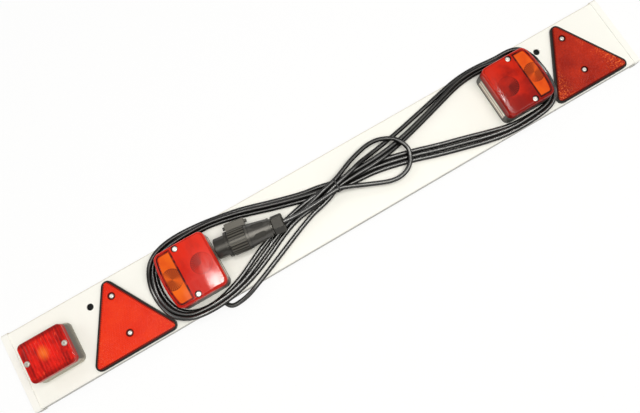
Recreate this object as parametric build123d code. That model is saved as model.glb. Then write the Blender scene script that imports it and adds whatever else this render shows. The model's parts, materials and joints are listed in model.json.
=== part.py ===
from build123d import *
import math
import os

# Trailer lighting board lying on its back: X along the board, Y up the board, Z out of its face.
# Sizes are in millimetres, and the rims of the channel stand on Z = 0.

# Board extrusion
board_length = 1216.0
board_height = 140.0
channel_depth = 20.0
board_wall = 2.5
board_lip = 8.0
board_edge_radius = 3.0
mount_hole_from_end = 151.0
mount_hole_from_top = 31.0
mount_hole_diameter = 12.0

# End caps, pushed over the ends of the extrusion
cap_lip = 10.0
cap_wall = 1.5
cap_end_wall = 2.0
cap_spigot_wall = 1.6
cap_edge_radius = 1.0
cap_fit = 0.15

# Fasteners
hole_clearance = 0.25
thread_fit = 0.05
bolt_diameter = 5.0
bolt_head_flats = 8.0
bolt_head_height = 3.5
bolt_washer_diameter = 10.0
bolt_washer_thickness = 1.0
bolt_nut_height = 4.0
bolt_end = 1.5
screw_diameter = 4.0
lamp_screw_head = 9.6
reflector_screw_head = 7.8
screw_head_height = 2.6
screw_head_round = 1.8
screw_cross_length = 4.6
screw_cross_width = 1.1
screw_cross_depth = 1.3
screw_nut_flats = 7.0
screw_nut_height = 3.2

# Rear combination lamps, drawn with the outer end of the lamp towards +X
lamp_left_from_end = 332.0
lamp_right_from_end = 231.0
lamp_y = 1.0
lamp_width = 97.0
lamp_height = 101.0
lamp_bow = 6.5
lamp_outer_radius = 12.0
lamp_inner_radius = 11.0
lamp_base_height = 24.0
lamp_depth = 45.0
lamp_wall = 2.2
lamp_floor = 2.5
lamp_bolt_spacing = 50.0
lamp_wire_hole = 12.0
lamp_divider = 1.6
lamp_divider_gap = 2.5
lens_thickness = 2.2
lens_crown_radius = 420.0
lens_edge_radius = 4.5
lens_screw_x = 4.0
lens_screw_from_edge = 7.8
lens_boss_radius = 6.0
lens_pillar_radius = 7.0
lens_well_radius = 5.4
lens_well_depth = 4.6
lens_screw_reach = 29.0
seal_thickness = 1.0
seal_inset = 0.4
seal_width = 1.6
amber_width = 26.5
amber_margin = 7.0
amber_corner = 3.0
amber_weld = 0.1
amber_recess = 0.6
amber_reach = 8.0
amber_ledge = 2.0
amber_ledge_thickness = 1.2
optic_red_x = -24.0
optic_amber_x = 30.5
optic_y = -0.7
optic_ring_pitch = 4.6
optic_ring_width = 1.6
optic_ring_count = 4
optic_ring_depth = 0.9
window_margin = 12.5
window_bottom = 2.8
window_below_rim = 1.8
window_plate = 1.4
window_rib_count = 5
window_fit = 0.1

# Bulbs and their holders
bulb_cap_radius = 7.5
bulb_cap_length = 17.0
bulb_neck_radius = 6.6
bulb_glass_radius = 12.5
bulb_glass_centre = 31.0
bulb_axis_height = 22.0
holder_wall = 1.1
holder_length = 13.0
holder_back = 1.0
holder_foot_width = 10.0
holder_foot_length = 8.0
holder_fit = 0.1

# Fog lamp at the left end
fog_from_end = 69.5
fog_y = 0.0
fog_width = 79.0
fog_height = 70.0
fog_corner = 8.5
fog_base_height = 24.0
fog_foot = 1.5
fog_foot_height = 5.0
fog_depth = 36.5
fog_wall = 2.4
fog_floor = 2.5
fog_front = 3.4
fog_bevel = 2.2
fog_flute_pitch = 4.0
fog_flute_radius = 2.3
fog_flute_depth = 1.3
fog_flute_margin = 7.0
fog_screw_from_edge = 6.3
fog_boss_radius = 5.2
fog_bulb_axis_height = 16.5
fog_bulb_y = 3.0

# Triangular reflectors
reflector_left_from_end = 192.5
reflector_right_from_end = 99.7
reflector_side = 165.0
reflector_corner = 10.5
reflector_above_edge = 1.7
reflector_rim = 2.8
reflector_back_height = 5.4
reflector_plate_bottom = 2.0
reflector_plate_top = 7.0
reflector_plate_round = 1.6
reflector_fit = 0.1
reflector_screw_mid = 0.6
reflector_screw_spacing = 70.5
reflector_well_radius = 6.4
reflector_well_depth = 2.2

# Cable, its grommet in the lower flange and the tie round the crossing
cable_diameter = 8.0
cable_rest = 0.2
exit_from_lamp = 19.0
exit_z = 10.0
grommet_neck_radius = 6.0
grommet_flange_radius = 7.2
grommet_flange = 1.4
grommet_fit = 0.05
grommet_bore_gap = 0.1
hank_strands = 3
hank_wrap_width = 9.0
hank_wrap_height = 24.0
hank_knot_height = 22.0
hank_leg_bend = 60.0
wrap_outset = 6.0
left_wrap_radius = 70.5
right_wrap_radius = 66.5
wrap_end_angle = 78.0
tie_x = 10.0
tie_y = 7.0
tie_width = 2.5
tie_thickness = 1.0
tie_span_y = 23.0
tie_fit = 0.1

# Seven-pin plug, drawn along +Z from its nose, with the latch block towards +X
plug_nose_gap = 5.5
plug_nose_y = 12.0
plug_nose_height = 21.8
plug_yaw = -8.2
plug_tilt = 3.0
plug_nose_radius = 18.0
plug_nose_length = 20.0
plug_mouth_radius = 15.2
plug_collar_radius = 22.2
plug_collar_length = 4.5
plug_groove_radius = 19.8
plug_groove_length = 1.8
plug_body_radius = 20.8
plug_body_length = 37.0
plug_rib_count = 26
plug_rib_width = 2.9
plug_rib_height = 1.6
plug_rib_margin = 1.2
plug_rear_bore_radius = 17.0
plug_carrier_length = 14.0
plug_carrier_depth = 19.0
plug_fit = 0.1
plug_pin_circle = 9.6
plug_pin_radius = 2.3
plug_pin_mouth_gap = 8.0
plug_pin_tail = 4.0
plug_latch_length = 34.0
plug_latch_middle = 43.0
plug_latch_width = 15.0
plug_latch_reach = 33.5
plug_latch_edge = 1.5
plug_lug_radius = 3.0
plug_lug_length = 4.5
plug_band_radius = 21.4
plug_band_length = 3.6
plug_cone_front_radius = 20.4
plug_cone_rear_radius = 16.0
plug_cone_length = 33.6
plug_rim_radius = 16.8
plug_rim_length = 3.0
plug_neck_radius = 13.6
plug_neck_length = 3.0
plug_cone_wall = 2.6
plug_spigot_length = 9.0
plug_recess_count = 6
plug_recess_length = 22.0
plug_recess_width = 10.0
plug_recess_depth = 1.4
plug_nut_flats = 29.0
plug_nut_length = 21.0
plug_nut_chamfer = 1.8
plug_seal_radius = 7.0
plug_seal_length = 16.0

# Worked out from the sizes above
face_z = channel_depth
board_end = board_length / 2
mount_hole_xs = (mount_hole_from_end - board_end, board_end - mount_hole_from_end)
mount_hole_y = board_height / 2 - mount_hole_from_top
lamp_left_x = lamp_left_from_end - board_end
lamp_right_x = board_end - lamp_right_from_end
fog_x = fog_from_end - board_end
reflector_left_x = reflector_left_from_end - board_end
reflector_right_x = board_end - reflector_right_from_end
reflector_base_y = reflector_above_edge - board_height / 2
back_z = channel_depth - board_wall
lens_bottom = lamp_base_height + seal_thickness
lens_well_floor = lamp_depth - lens_well_depth
lens_screw_y = lamp_height / 2 - lens_screw_from_edge
lens_screw_ys = (lens_screw_y, -lens_screw_y)
amber_inner_x = lamp_width / 2 - amber_margin - amber_width
window_length = lamp_height - 2 * window_margin
window_height = lamp_base_height - window_bottom - window_below_rim
lamp_bolt_ys = (lamp_bolt_spacing / 2, -lamp_bolt_spacing / 2)
fog_screw_x = fog_width / 2 - fog_screw_from_edge
fog_screw_xs = (fog_screw_x, -fog_screw_x)
fog_lens_bottom = fog_base_height + seal_thickness
reflector_screw_ys = (
    reflector_screw_mid + reflector_screw_spacing / 2,
    reflector_screw_mid - reflector_screw_spacing / 2,
)
exit_x = lamp_left_x + exit_from_lamp
left_wrap_x = lamp_left_x - wrap_outset
right_wrap_x = lamp_right_x + wrap_outset
wrap_y = lamp_y
cable_radius = cable_diameter / 2
cable_z = face_z + cable_radius + cable_rest
plug_nose_x = lamp_left_x + lamp_width / 2 + plug_nose_gap
plug_body_end = plug_nose_length + plug_body_length
plug_cone_start = plug_body_end + plug_band_length + plug_groove_length
plug_rim_start = plug_cone_start + plug_cone_length
plug_neck_start = plug_rim_start + plug_rim_length
plug_nut_start = plug_neck_start + plug_neck_length
plug_length = plug_nut_start + plug_nut_length
plug_seal_start = plug_length - plug_seal_length
on_floor = (Align.CENTER, Align.CENTER, Align.MIN)
below = (Align.CENTER, Align.CENTER, Align.MAX)


def drilled(radius, depth):
    """Round cutter that goes down from Z = 0."""
    return Cylinder(radius, depth, align=below)


# Board and caps

def channel_section():
    """C section of the board, with its mouth and two return lips at the back."""
    outer = Pos(0, channel_depth / 2) * Rectangle(board_height, channel_depth)
    outer = fillet(outer.vertices().group_by(Axis.Y)[-1], board_edge_radius)
    hollow = Rectangle(board_height - 2 * board_wall, channel_depth - 2 * board_wall)
    mouth = Pos(0, board_wall / 2) * Rectangle(board_height - 2 * board_lip, board_wall)
    return outer - Pos(0, channel_depth / 2) * hollow - mouth


def board_holes():
    """Centre and radius of every round hole through the face of the board."""
    holes = []
    for x in mount_hole_xs:
        holes.append((x, mount_hole_y, mount_hole_diameter / 2))
    for lamp_x in (lamp_left_x, lamp_right_x):
        holes.append((lamp_x, lamp_y, lamp_wire_hole / 2))
        for y in lamp_bolt_ys:
            holes.append((lamp_x, lamp_y + y, bolt_diameter / 2 + hole_clearance))
    for x in fog_screw_xs:
        holes.append((fog_x + x, fog_y, screw_diameter / 2 + hole_clearance))
    holes.append((fog_x, fog_y, lamp_wire_hole / 2))
    for reflector_x in (reflector_left_x, reflector_right_x):
        for y in reflector_screw_ys:
            holes.append((reflector_x, y, screw_diameter / 2 + hole_clearance))
    return holes


def board_panel():
    panel = extrude(Plane.YZ * channel_section(), board_end, both=True)
    for x, y, radius in board_holes():
        panel -= Pos(x, y, face_z) * drilled(radius, board_wall)
    exit_hole = Cylinder(grommet_neck_radius + grommet_fit, board_wall, align=on_floor)
    panel -= Pos(exit_x, -board_height / 2, exit_z) * Rot(-90, 0, 0) * exit_hole
    return panel


def end_cap():
    """Cap for the +X end: end wall, lip over the outside and spigot inside the channel."""
    outer = Pos(0, (channel_depth + cap_wall) / 2)
    outer *= Rectangle(board_height + 2 * cap_wall, channel_depth + cap_wall)
    outer = fillet(outer.vertices().group_by(Axis.Y)[-1], board_edge_radius + cap_wall)
    socket = Pos(0, (channel_depth + cap_fit) / 2)
    socket *= Rectangle(board_height + 2 * cap_fit, channel_depth + cap_fit)
    socket = fillet(socket.vertices().group_by(Axis.Y)[-1], board_edge_radius + cap_fit)
    inset = board_wall + cap_fit
    spigot = Rectangle(board_height - 2 * inset, channel_depth - 2 * inset)
    inset += cap_spigot_wall
    spigot -= Rectangle(board_height - 2 * inset, channel_depth - 2 * inset)
    spigot = Pos(0, channel_depth / 2) * spigot
    cap = extrude(Plane.YZ.offset(board_end - cap_lip) * outer, cap_lip + cap_end_wall)
    cap = fillet(cap.faces().sort_by(Axis.X)[-1].edges(), cap_edge_radius)
    cap -= extrude(Plane.YZ.offset(board_end - cap_lip) * socket, cap_lip)
    return cap + extrude(Plane.YZ.offset(board_end - cap_lip) * spigot, cap_lip)


# Fasteners

def hexagon(flats, height):
    return extrude(RegularPolygon(flats / 2, 6, major_radius=False), height)


def hex_bolt(length):
    """Hexagon bolt with the underside of its head at Z = 0."""
    return hexagon(bolt_head_flats, bolt_head_height) + drilled(bolt_diameter / 2, length)


def cross_screw(length, head_diameter):
    """Domed screw with a cross recess and the underside of its head at Z = 0."""
    head = Cylinder(head_diameter / 2, screw_head_height, align=on_floor)
    head = fillet(head.edges().sort_by(Axis.Z)[-1], screw_head_round)
    cross = Box(screw_cross_length, screw_cross_width, screw_cross_depth, align=below)
    cross += Box(screw_cross_width, screw_cross_length, screw_cross_depth, align=below)
    return head - Pos(0, 0, screw_head_height) * cross + drilled(screw_diameter / 2, length)


def hex_nut(flats, height, diameter):
    """Nut that hangs below Z = 0 on a shank of the given diameter."""
    return Pos(0, 0, -height) * hexagon(flats, height) - drilled(diameter / 2 + thread_fit, height)


def washer(diameter):
    ring = drilled(bolt_washer_diameter / 2, bolt_washer_thickness)
    return ring - drilled(diameter / 2 + hole_clearance, bolt_washer_thickness)


# Rear combination lamps

def lamp_outline(inset=0.0):
    """Plan of the lamp: straight inner end, gently bowed outer end."""
    half_width = lamp_width / 2 - inset
    half_height = lamp_height / 2 - inset
    shoulder = half_width - lamp_bow
    edges = Polyline(
        (shoulder, half_height),
        (-half_width, half_height),
        (-half_width, -half_height),
        (shoulder, -half_height),
    )
    edges += ThreePointArc((shoulder, -half_height), (half_width, 0), (shoulder, half_height))
    plan = make_face(edges)
    plan = fillet(plan.vertices().sort_by(Axis.X)[-2:], lamp_outer_radius - inset)
    return fillet(plan.vertices().sort_by(Axis.X)[:2], lamp_inner_radius - inset)


def lens_block(inset):
    """Solid under one crowned skin of the lens."""
    block = extrude(Plane.XY.offset(lens_bottom) * lamp_outline(inset), lamp_depth)
    roller = Rot(90, 0, 0) * Cylinder(lens_crown_radius - inset, 2 * lamp_height)
    block &= Pos(0, 0, lamp_depth - lens_crown_radius) * roller
    crown = block.faces().sort_by(Axis.Z)[-1]
    return fillet(crown.edges(), lens_edge_radius - inset)


def amber_prism(grow):
    """Upright prism over the place of the amber strip."""
    side = Rectangle(lamp_width, lamp_height, align=(Align.MIN, Align.CENTER))
    plan = lamp_outline(amber_margin - grow) & Pos(amber_inner_x - grow, 0) * side
    plan = fillet(plan.vertices().sort_by(Axis.X)[:2], amber_corner + grow)
    return extrude(Plane.XY.offset(lamp_depth - amber_reach) * plan, amber_reach)


def optic_rings(x, skin):
    """Ring prisms on the inside of the lens, round the axis of the lamp's beam."""
    rings = Sketch()
    for number in range(1, optic_ring_count + 1):
        radius = number * optic_ring_pitch
        rings += Circle(radius) - Circle(radius - optic_ring_width)
    prism = extrude(Plane.XY.offset(lamp_depth - amber_reach) * (Pos(x, optic_y) * rings), amber_reach)
    return prism & skin


def lamp_base():
    base = extrude(lamp_outline(), lamp_base_height)
    base -= extrude(Plane.XY.offset(lamp_floor) * lamp_outline(lamp_wall), lamp_base_height)
    rise = lamp_base_height - lamp_floor
    for y in lens_screw_ys:
        boss = Cylinder(lens_boss_radius, rise, align=on_floor)
        base += Pos(lens_screw_x, y, lamp_floor) * boss
    base &= extrude(lamp_outline(), lamp_base_height)
    for y in lens_screw_ys:
        depth = lamp_base_height - lamp_floor
        base -= Pos(lens_screw_x, y, lamp_base_height) * drilled(screw_diameter / 2 + thread_fit, depth)
    divider_x = amber_inner_x - amber_ledge
    divider_length = lamp_height - 2 * (lamp_wall + lamp_divider_gap)
    divider_top = lamp_depth - lens_thickness - amber_ledge_thickness - 2 * lamp_divider
    divider = Box(lamp_divider, divider_length, divider_top - lamp_floor, align=on_floor)
    base += Pos(divider_x, 0, lamp_floor) * divider
    opening = Box(3 * lamp_wall, window_length, window_height, align=on_floor)
    base -= Pos(-lamp_width / 2, 0, window_bottom) * opening
    base -= Pos(0, 0, lamp_floor) * drilled(lamp_wire_hole / 2, lamp_floor)
    for y in lamp_bolt_ys:
        base -= Pos(0, y, lamp_floor) * drilled(bolt_diameter / 2 + hole_clearance, lamp_floor)
    return base


def red_lens():
    outer = lens_block(0)
    inner = lens_block(lens_thickness)
    lens = outer - inner
    for y in lens_screw_ys:
        pillar = Cylinder(lens_pillar_radius, lamp_depth - lens_bottom, align=on_floor)
        lens += (Pos(lens_screw_x, y, lens_bottom) * pillar) & outer
    lens += optic_rings(optic_red_x, outer - Pos(0, 0, -optic_ring_depth) * inner)
    lens -= amber_prism(0)
    for y in lens_screw_ys:
        well = Pos(lens_screw_x, y, lamp_depth) * drilled(lens_well_radius, lens_well_depth)
        shaft = Pos(lens_screw_x, y, lamp_depth) * drilled(screw_diameter / 2 + hole_clearance, lamp_depth)
        lens -= well + shaft
    return lens


def amber_lens():
    """Strip set back in the slot of the red lens, with a ledge welded under its edges."""
    outer = Pos(0, 0, -amber_recess) * lens_block(0)
    inner = lens_block(lens_thickness)
    under = amber_weld + amber_ledge_thickness
    lowered = Pos(0, 0, -under) * inner
    strip = (outer - lowered) & amber_prism(-amber_weld)
    ledge = (Pos(0, 0, -amber_weld) * inner - lowered) & amber_prism(amber_ledge)
    skin = outer - Pos(0, 0, -under - optic_ring_depth) * inner
    rings = optic_rings(optic_amber_x, skin) & amber_prism(-amber_weld)
    return strip + ledge + rings


def plate_window():
    """Clear ribbed strip in the inner end of the base that lights the number plate."""
    length = window_length - 2 * window_fit
    height = window_height - 2 * window_fit
    inside = lamp_wall - lamp_width / 2
    plate = Box(window_plate, length, height, align=(Align.MAX, Align.CENTER, Align.MIN))
    window = Pos(inside, 0, window_bottom + window_fit) * plate
    pitch = height / window_rib_count
    rib_radius = lamp_wall - window_plate
    for number in range(window_rib_count):
        rib = Rot(90, 0, 0) * Cylinder(rib_radius, length)
        z = window_bottom + window_fit + (number + 0.5) * pitch
        window += Pos(inside - window_plate, 0, z) * rib
    return window


def lens_seal():
    ring = lamp_outline(seal_inset) - lamp_outline(seal_inset + seal_width)
    return extrude(Plane.XY.offset(lamp_base_height) * ring, seal_thickness)


def lens_screws():
    screws = []
    for y in lens_screw_ys:
        screw = cross_screw(lens_screw_reach, lamp_screw_head)
        screws.append(Pos(lens_screw_x, y, lens_well_floor) * screw)
    return screws


def bulb():
    """Bulb lying along +Y, with the centre of its glass over the origin."""
    body = Cylinder(bulb_cap_radius, bulb_cap_length, align=on_floor)
    body += Cylinder(bulb_neck_radius, bulb_glass_centre, align=on_floor)
    body += Pos(0, 0, bulb_glass_centre) * Sphere(bulb_glass_radius)
    return Rot(-90, 0, 0) * Pos(0, 0, -bulb_glass_centre) * body


def bulb_holder(foot):
    """Sprung sleeve round the cap of the bulb, on a foot that stands on the floor of the base."""
    bore = bulb_cap_radius + holder_fit
    sleeve = Cylinder(bore + holder_wall, holder_length + holder_back, align=on_floor)
    leg = Box(holder_foot_width, foot, holder_foot_length, align=(Align.CENTER, Align.MIN, Align.MIN))
    holder = sleeve + leg
    holder -= Pos(0, 0, holder_back) * Cylinder(bore, holder_length, align=on_floor)
    return Rot(-90, 0, 0) * Pos(0, 0, -bulb_glass_centre - holder_back) * holder


def lamp_bulbs(maker):
    pieces = []
    for x in (optic_red_x, optic_amber_x):
        pieces.append(Pos(x, optic_y, bulb_axis_height) * maker)
    return pieces


# Fog lamp

def fog_base():
    plan = RectangleRounded(fog_width, fog_height, fog_corner)
    foot = RectangleRounded(fog_width + 2 * fog_foot, fog_height + 2 * fog_foot, fog_corner + fog_foot)
    inside = RectangleRounded(fog_width - 2 * fog_wall, fog_height - 2 * fog_wall, fog_corner - fog_wall)
    base = extrude(plan, fog_base_height) + extrude(foot, fog_foot_height)
    base -= extrude(Plane.XY.offset(fog_floor) * inside, fog_base_height)
    for x in fog_screw_xs:
        base += Pos(x, 0, 0) * Cylinder(fog_boss_radius, fog_base_height, align=on_floor)
        shaft = drilled(screw_diameter / 2 + hole_clearance, fog_base_height)
        base -= Pos(x, 0, fog_base_height) * shaft
    return base - Pos(0, 0, fog_floor) * drilled(lamp_wire_hole / 2, fog_floor)


def fog_seal():
    def plan(inset):
        return RectangleRounded(fog_width - 2 * inset, fog_height - 2 * inset, fog_corner - inset)
    ring = plan(seal_inset) - plan(seal_inset + seal_width)
    return extrude(Plane.XY.offset(fog_base_height) * ring, seal_thickness)


def fog_lens():
    """Red lens with bevelled front edges and a row of flutes moulded on its inside."""
    height = fog_depth - fog_lens_bottom
    plan = RectangleRounded(fog_width, fog_height, fog_corner)
    inside = RectangleRounded(fog_width - 2 * fog_wall, fog_height - 2 * fog_wall, fog_corner - fog_wall)
    lens = extrude(Plane.XY.offset(fog_lens_bottom) * plan, height)
    lens = fillet(lens.faces().sort_by(Axis.Z)[-1].edges(), fog_bevel)
    lens -= extrude(Plane.XY.offset(fog_lens_bottom) * inside, height - fog_front)
    ceiling = fog_depth - fog_front
    length = fog_height - 2 * fog_flute_margin
    count = int((fog_width - 2 * fog_flute_margin) / fog_flute_pitch)
    groove = Rot(90, 0, 0) * Cylinder(fog_flute_radius, length)
    grooves = Part()
    for number in range(count):
        x = (number - (count - 1) / 2) * fog_flute_pitch
        grooves += Pos(x, 0, ceiling + fog_flute_depth - fog_flute_radius) * groove
    lens -= grooves
    for x in fog_screw_xs:
        lens += Pos(x, 0, fog_lens_bottom) * Cylinder(fog_boss_radius, height, align=on_floor)
        lens -= Pos(x, 0, fog_depth) * drilled(screw_diameter / 2 + hole_clearance, height)
    return lens


# Triangular reflectors

def triangle(inset):
    """Equilateral triangle with rounded corners, its base parallel to the lower edge of the board."""
    side = reflector_side - 2 * math.sqrt(3) * inset
    base = reflector_base_y + inset
    corners = Polygon(
        (-side / 2, base),
        (side / 2, base),
        (0, base + side * math.sqrt(3) / 2),
        align=None,
    )
    return fillet(corners.vertices(), reflector_corner - inset)


def reflector_backing():
    backing = extrude(triangle(0), reflector_back_height)
    recess = triangle(reflector_rim)
    backing -= extrude(Plane.XY.offset(reflector_plate_bottom) * recess, reflector_back_height)
    for y in reflector_screw_ys:
        shaft = drilled(screw_diameter / 2 + hole_clearance, reflector_plate_bottom)
        backing -= Pos(0, y, reflector_plate_bottom) * shaft
    return backing


def reflector_plate():
    thickness = reflector_plate_top - reflector_plate_bottom
    plan = triangle(reflector_rim + reflector_fit)
    plate = extrude(Plane.XY.offset(reflector_plate_bottom) * plan, thickness)
    plate = fillet(plate.faces().sort_by(Axis.Z)[-1].edges(), reflector_plate_round)
    for y in reflector_screw_ys:
        plate -= Pos(0, y, reflector_plate_top) * drilled(reflector_well_radius, reflector_well_depth)
        plate -= Pos(0, y, reflector_plate_top) * drilled(screw_diameter / 2 + hole_clearance, thickness)
    return plate


# Cable

def tube(points, label):
    """Round cable along straight runs joined by tangent arcs; the radii are printed."""
    ends = [Vector(*p) for p in points]
    runs = [b - a for a, b in zip(ends, ends[1:])]
    radii = []
    for before, after in zip(runs, runs[1:]):
        half_turn = math.radians(before.get_angle(after)) / 2
        radii.append(0.45 * min(before.length, after.length) / math.tan(half_turn))
    print(label, "bend radii", [round(r, 1) for r in radii])
    path = FilletPolyline(*points, radius=radii)
    start = Plane(origin=ends[0], z_dir=runs[0])
    solid = sweep(start * Circle(cable_radius), path=path)
    expected = math.pi * cable_radius ** 2 * path.length
    print(label, "length", round(path.length, 1), "volume ratio", round(solid.volume / expected, 4))
    return solid


lead_points = [
    (exit_x, -62.0, exit_z),
    (exit_x, -82.0, exit_z),
    (exit_x + 35.0, -82.0, 14.5),
    (exit_x + 67.0, -71.8, cable_z),
    (-124.0, -44.5, cable_z),
    (-56.0, -16.0, cable_z),
    (-4.0, -4.0, cable_z),
]

loop_points = [
    (24.0, 20.0, 37.0),
    (58.0, 34.5, 35.0),
    (104.0, 45.0, 32.8),
    (142.0, 32.0, 32.6),
    (155.0, -3.0, 32.6),
    (138.0, -31.0, 32.6),
    (106.0, -39.0, 31.0),
    (62.0, -20.5, 30.0),
    (20.0, -4.6, 36.0),
]

leg_points = [
    [(0.0, 12.0), (-50.0, 25.0), (-106.0, 38.0), (-174.0, 58.5), (-205.0, 65.0)],
    [(0.0, 4.0), (-92.0, -7.0), (-126.0, -17.0), (-159.0, -33.6), (-205.0, -55.0)],
    [(20.0, 10.0), (90.0, 17.0), (150.0, 26.0), (221.0, 42.6), (300.0, 60.0)],
    [(20.0, 4.0), (90.0, 2.0), (153.6, -13.0), (220.0, -33.6), (300.0, -54.0)],
]

knot_points = [(-14.0, -11.5), (tie_x, -4.5), (34.0, -16.0), (34.0, 31.0), (tie_x, 18.5), (-14.0, 19.0)]


def wrap_plan(lamp_side, centre_x, radius):
    """Narrow stack of strands round the outer end of one lamp, joined to its two legs."""
    turn = 90 - lamp_side * (90 - wrap_end_angle)
    start = Vector(centre_x, wrap_y) + Vector(radius, 0).rotate(Axis.Z, turn)
    end = Vector(start.X, 2 * wrap_y - start.Y)
    middle = Vector(centre_x + lamp_side * radius, wrap_y)
    upper, lower = leg_ends(lamp_side)
    path = ThreePointArc(start, middle, end)
    plan = trace(path, hank_wrap_width)
    plan += trace(Line(start, upper), hank_wrap_width)
    return plan + trace(Line(end, lower), hank_wrap_width)


def leg_ends(lamp_side):
    """Outer ends of the two legs on one side of the tie, upper one first."""
    ends = [points[-1] for points in leg_points if points[-1][0] * lamp_side > 0]
    return sorted(ends, key=lambda p: -p[1])


def cable_hank():
    """Outer shape of the three figure-eight turns that are wound round both lamps."""
    legs = Sketch()
    for points in leg_points:
        legs += trace(FilletPolyline(*points, radius=hank_leg_bend), hank_strands * cable_diameter)
    wraps = wrap_plan(-1, left_wrap_x, left_wrap_radius) + wrap_plan(1, right_wrap_x, right_wrap_radius)
    knot = Polygon(*knot_points, align=None)
    rest = Plane.XY.offset(face_z + cable_rest)
    hank = extrude(rest * legs, cable_diameter) + extrude(rest * wraps, hank_wrap_height)
    hank += extrude(rest * knot, hank_knot_height)
    return hank - tie_ring(tie_fit, hank_knot_height)


def tie_ring(grow, outside):
    """Rectangular ring round the crossing; it stands out by the given amount."""
    height = hank_knot_height - 2 * tie_thickness
    middle = face_z + cable_rest + hank_knot_height / 2
    inner_y = tie_span_y - 2 * tie_thickness - grow
    outer = Box(tie_width + 2 * grow, tie_span_y + 2 * outside, hank_knot_height + 2 * outside)
    ring = outer - Box(tie_width + 2 * grow, inner_y, height - grow)
    return Pos(tie_x, tie_y, middle) * ring


def cable_grommet():
    """Rubber grommet that grips the lower flange; its axis is the cable's."""
    ring = Cylinder(grommet_neck_radius, board_wall + 2 * grommet_flange)
    ring += Pos(0, 0, (board_wall + grommet_flange) / 2) * Cylinder(grommet_flange_radius, grommet_flange)
    ring += Pos(0, 0, -(board_wall + grommet_flange) / 2) * Cylinder(grommet_flange_radius, grommet_flange)
    ring -= Cylinder(cable_radius + grommet_bore_gap, 2 * (board_wall + 2 * grommet_flange))
    return Pos(exit_x, (board_wall - board_height) / 2, exit_z) * Rot(90, 0, 0) * ring


# Plug

def plug_frame():
    """Plane at the plug's nose: Z along the plug, X towards the latch block."""
    yaw = math.radians(plug_yaw)
    tilt = math.radians(plug_tilt)
    axis = Vector(math.cos(tilt) * math.cos(yaw), math.cos(tilt) * math.sin(yaw), math.sin(tilt))
    side = Vector(-math.sin(yaw), math.cos(yaw), 0)
    nose = Vector(plug_nose_x, plug_nose_y, face_z + plug_nose_height)
    return Plane(origin=nose, x_dir=side, z_dir=axis)


def plug_housing():
    """Nose with the pin mouth, ribbed grip and latch block, moulded in one."""
    shell = Cylinder(plug_nose_radius, plug_nose_length, align=on_floor)
    shell = fillet(shell.edges().sort_by(Axis.Z)[0], plug_latch_edge)
    collar = Cylinder(plug_collar_radius, plug_collar_length, align=on_floor)
    shell += Pos(0, 0, plug_nose_length) * collar
    shell += Cylinder(plug_groove_radius, plug_body_end, align=on_floor) - Cylinder(
        plug_groove_radius, plug_nose_length, align=on_floor
    )
    grip_start = plug_nose_length + plug_collar_length + plug_groove_length
    grip = Cylinder(plug_body_radius, plug_body_end - grip_start, align=on_floor)
    shell += Pos(0, 0, grip_start) * grip
    rib_length = plug_body_end - grip_start - 2 * plug_rib_margin
    rib = Box(2 * plug_rib_height, plug_rib_width, rib_length, align=on_floor)
    for turn in PolarLocations(plug_body_radius, plug_rib_count):
        shell += Pos(0, 0, grip_start + plug_rib_margin) * turn * rib
    outwards = (Align.MIN, Align.CENTER, Align.CENTER)
    block = Box(plug_latch_reach, plug_latch_width, plug_latch_length, align=outwards)
    block = fillet(block.faces().sort_by(Axis.X)[-1].edges(), plug_latch_edge)
    shell += Pos(0, 0, plug_latch_middle) * block
    lug = Cylinder(plug_lug_radius, plug_latch_length + 2 * plug_lug_length)
    shell += Pos(plug_latch_reach - 2 * plug_lug_radius, 0, plug_latch_middle) * lug
    shell -= Cylinder(plug_mouth_radius, plug_body_end, align=on_floor)
    clear = Cylinder(plug_band_radius + plug_fit, plug_latch_length, align=on_floor)
    shell -= Pos(0, 0, plug_body_end) * clear
    rear = plug_body_end - plug_spigot_length
    return shell - Pos(0, 0, rear) * Cylinder(plug_rear_bore_radius, plug_spigot_length, align=on_floor)


def pin_places():
    """Centres of the seven pins: six on a circle and one in the middle."""
    return [Pos(0, 0, 0)] + [Pos(*place.position) for place in PolarLocations(plug_pin_circle, 6)]


def plug_carrier():
    carrier = Cylinder(plug_mouth_radius - plug_fit, plug_carrier_length, align=on_floor)
    for place in pin_places():
        carrier -= place * Cylinder(plug_pin_radius + plug_fit, plug_carrier_length, align=on_floor)
    return Pos(0, 0, plug_carrier_depth) * carrier


def plug_pins():
    length = plug_carrier_depth + plug_carrier_length + plug_pin_tail - plug_pin_mouth_gap
    pins = []
    for place in pin_places():
        pin = Cylinder(plug_pin_radius, length, align=on_floor)
        pins.append(Pos(0, 0, plug_pin_mouth_gap) * place * pin)
    return pins


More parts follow.
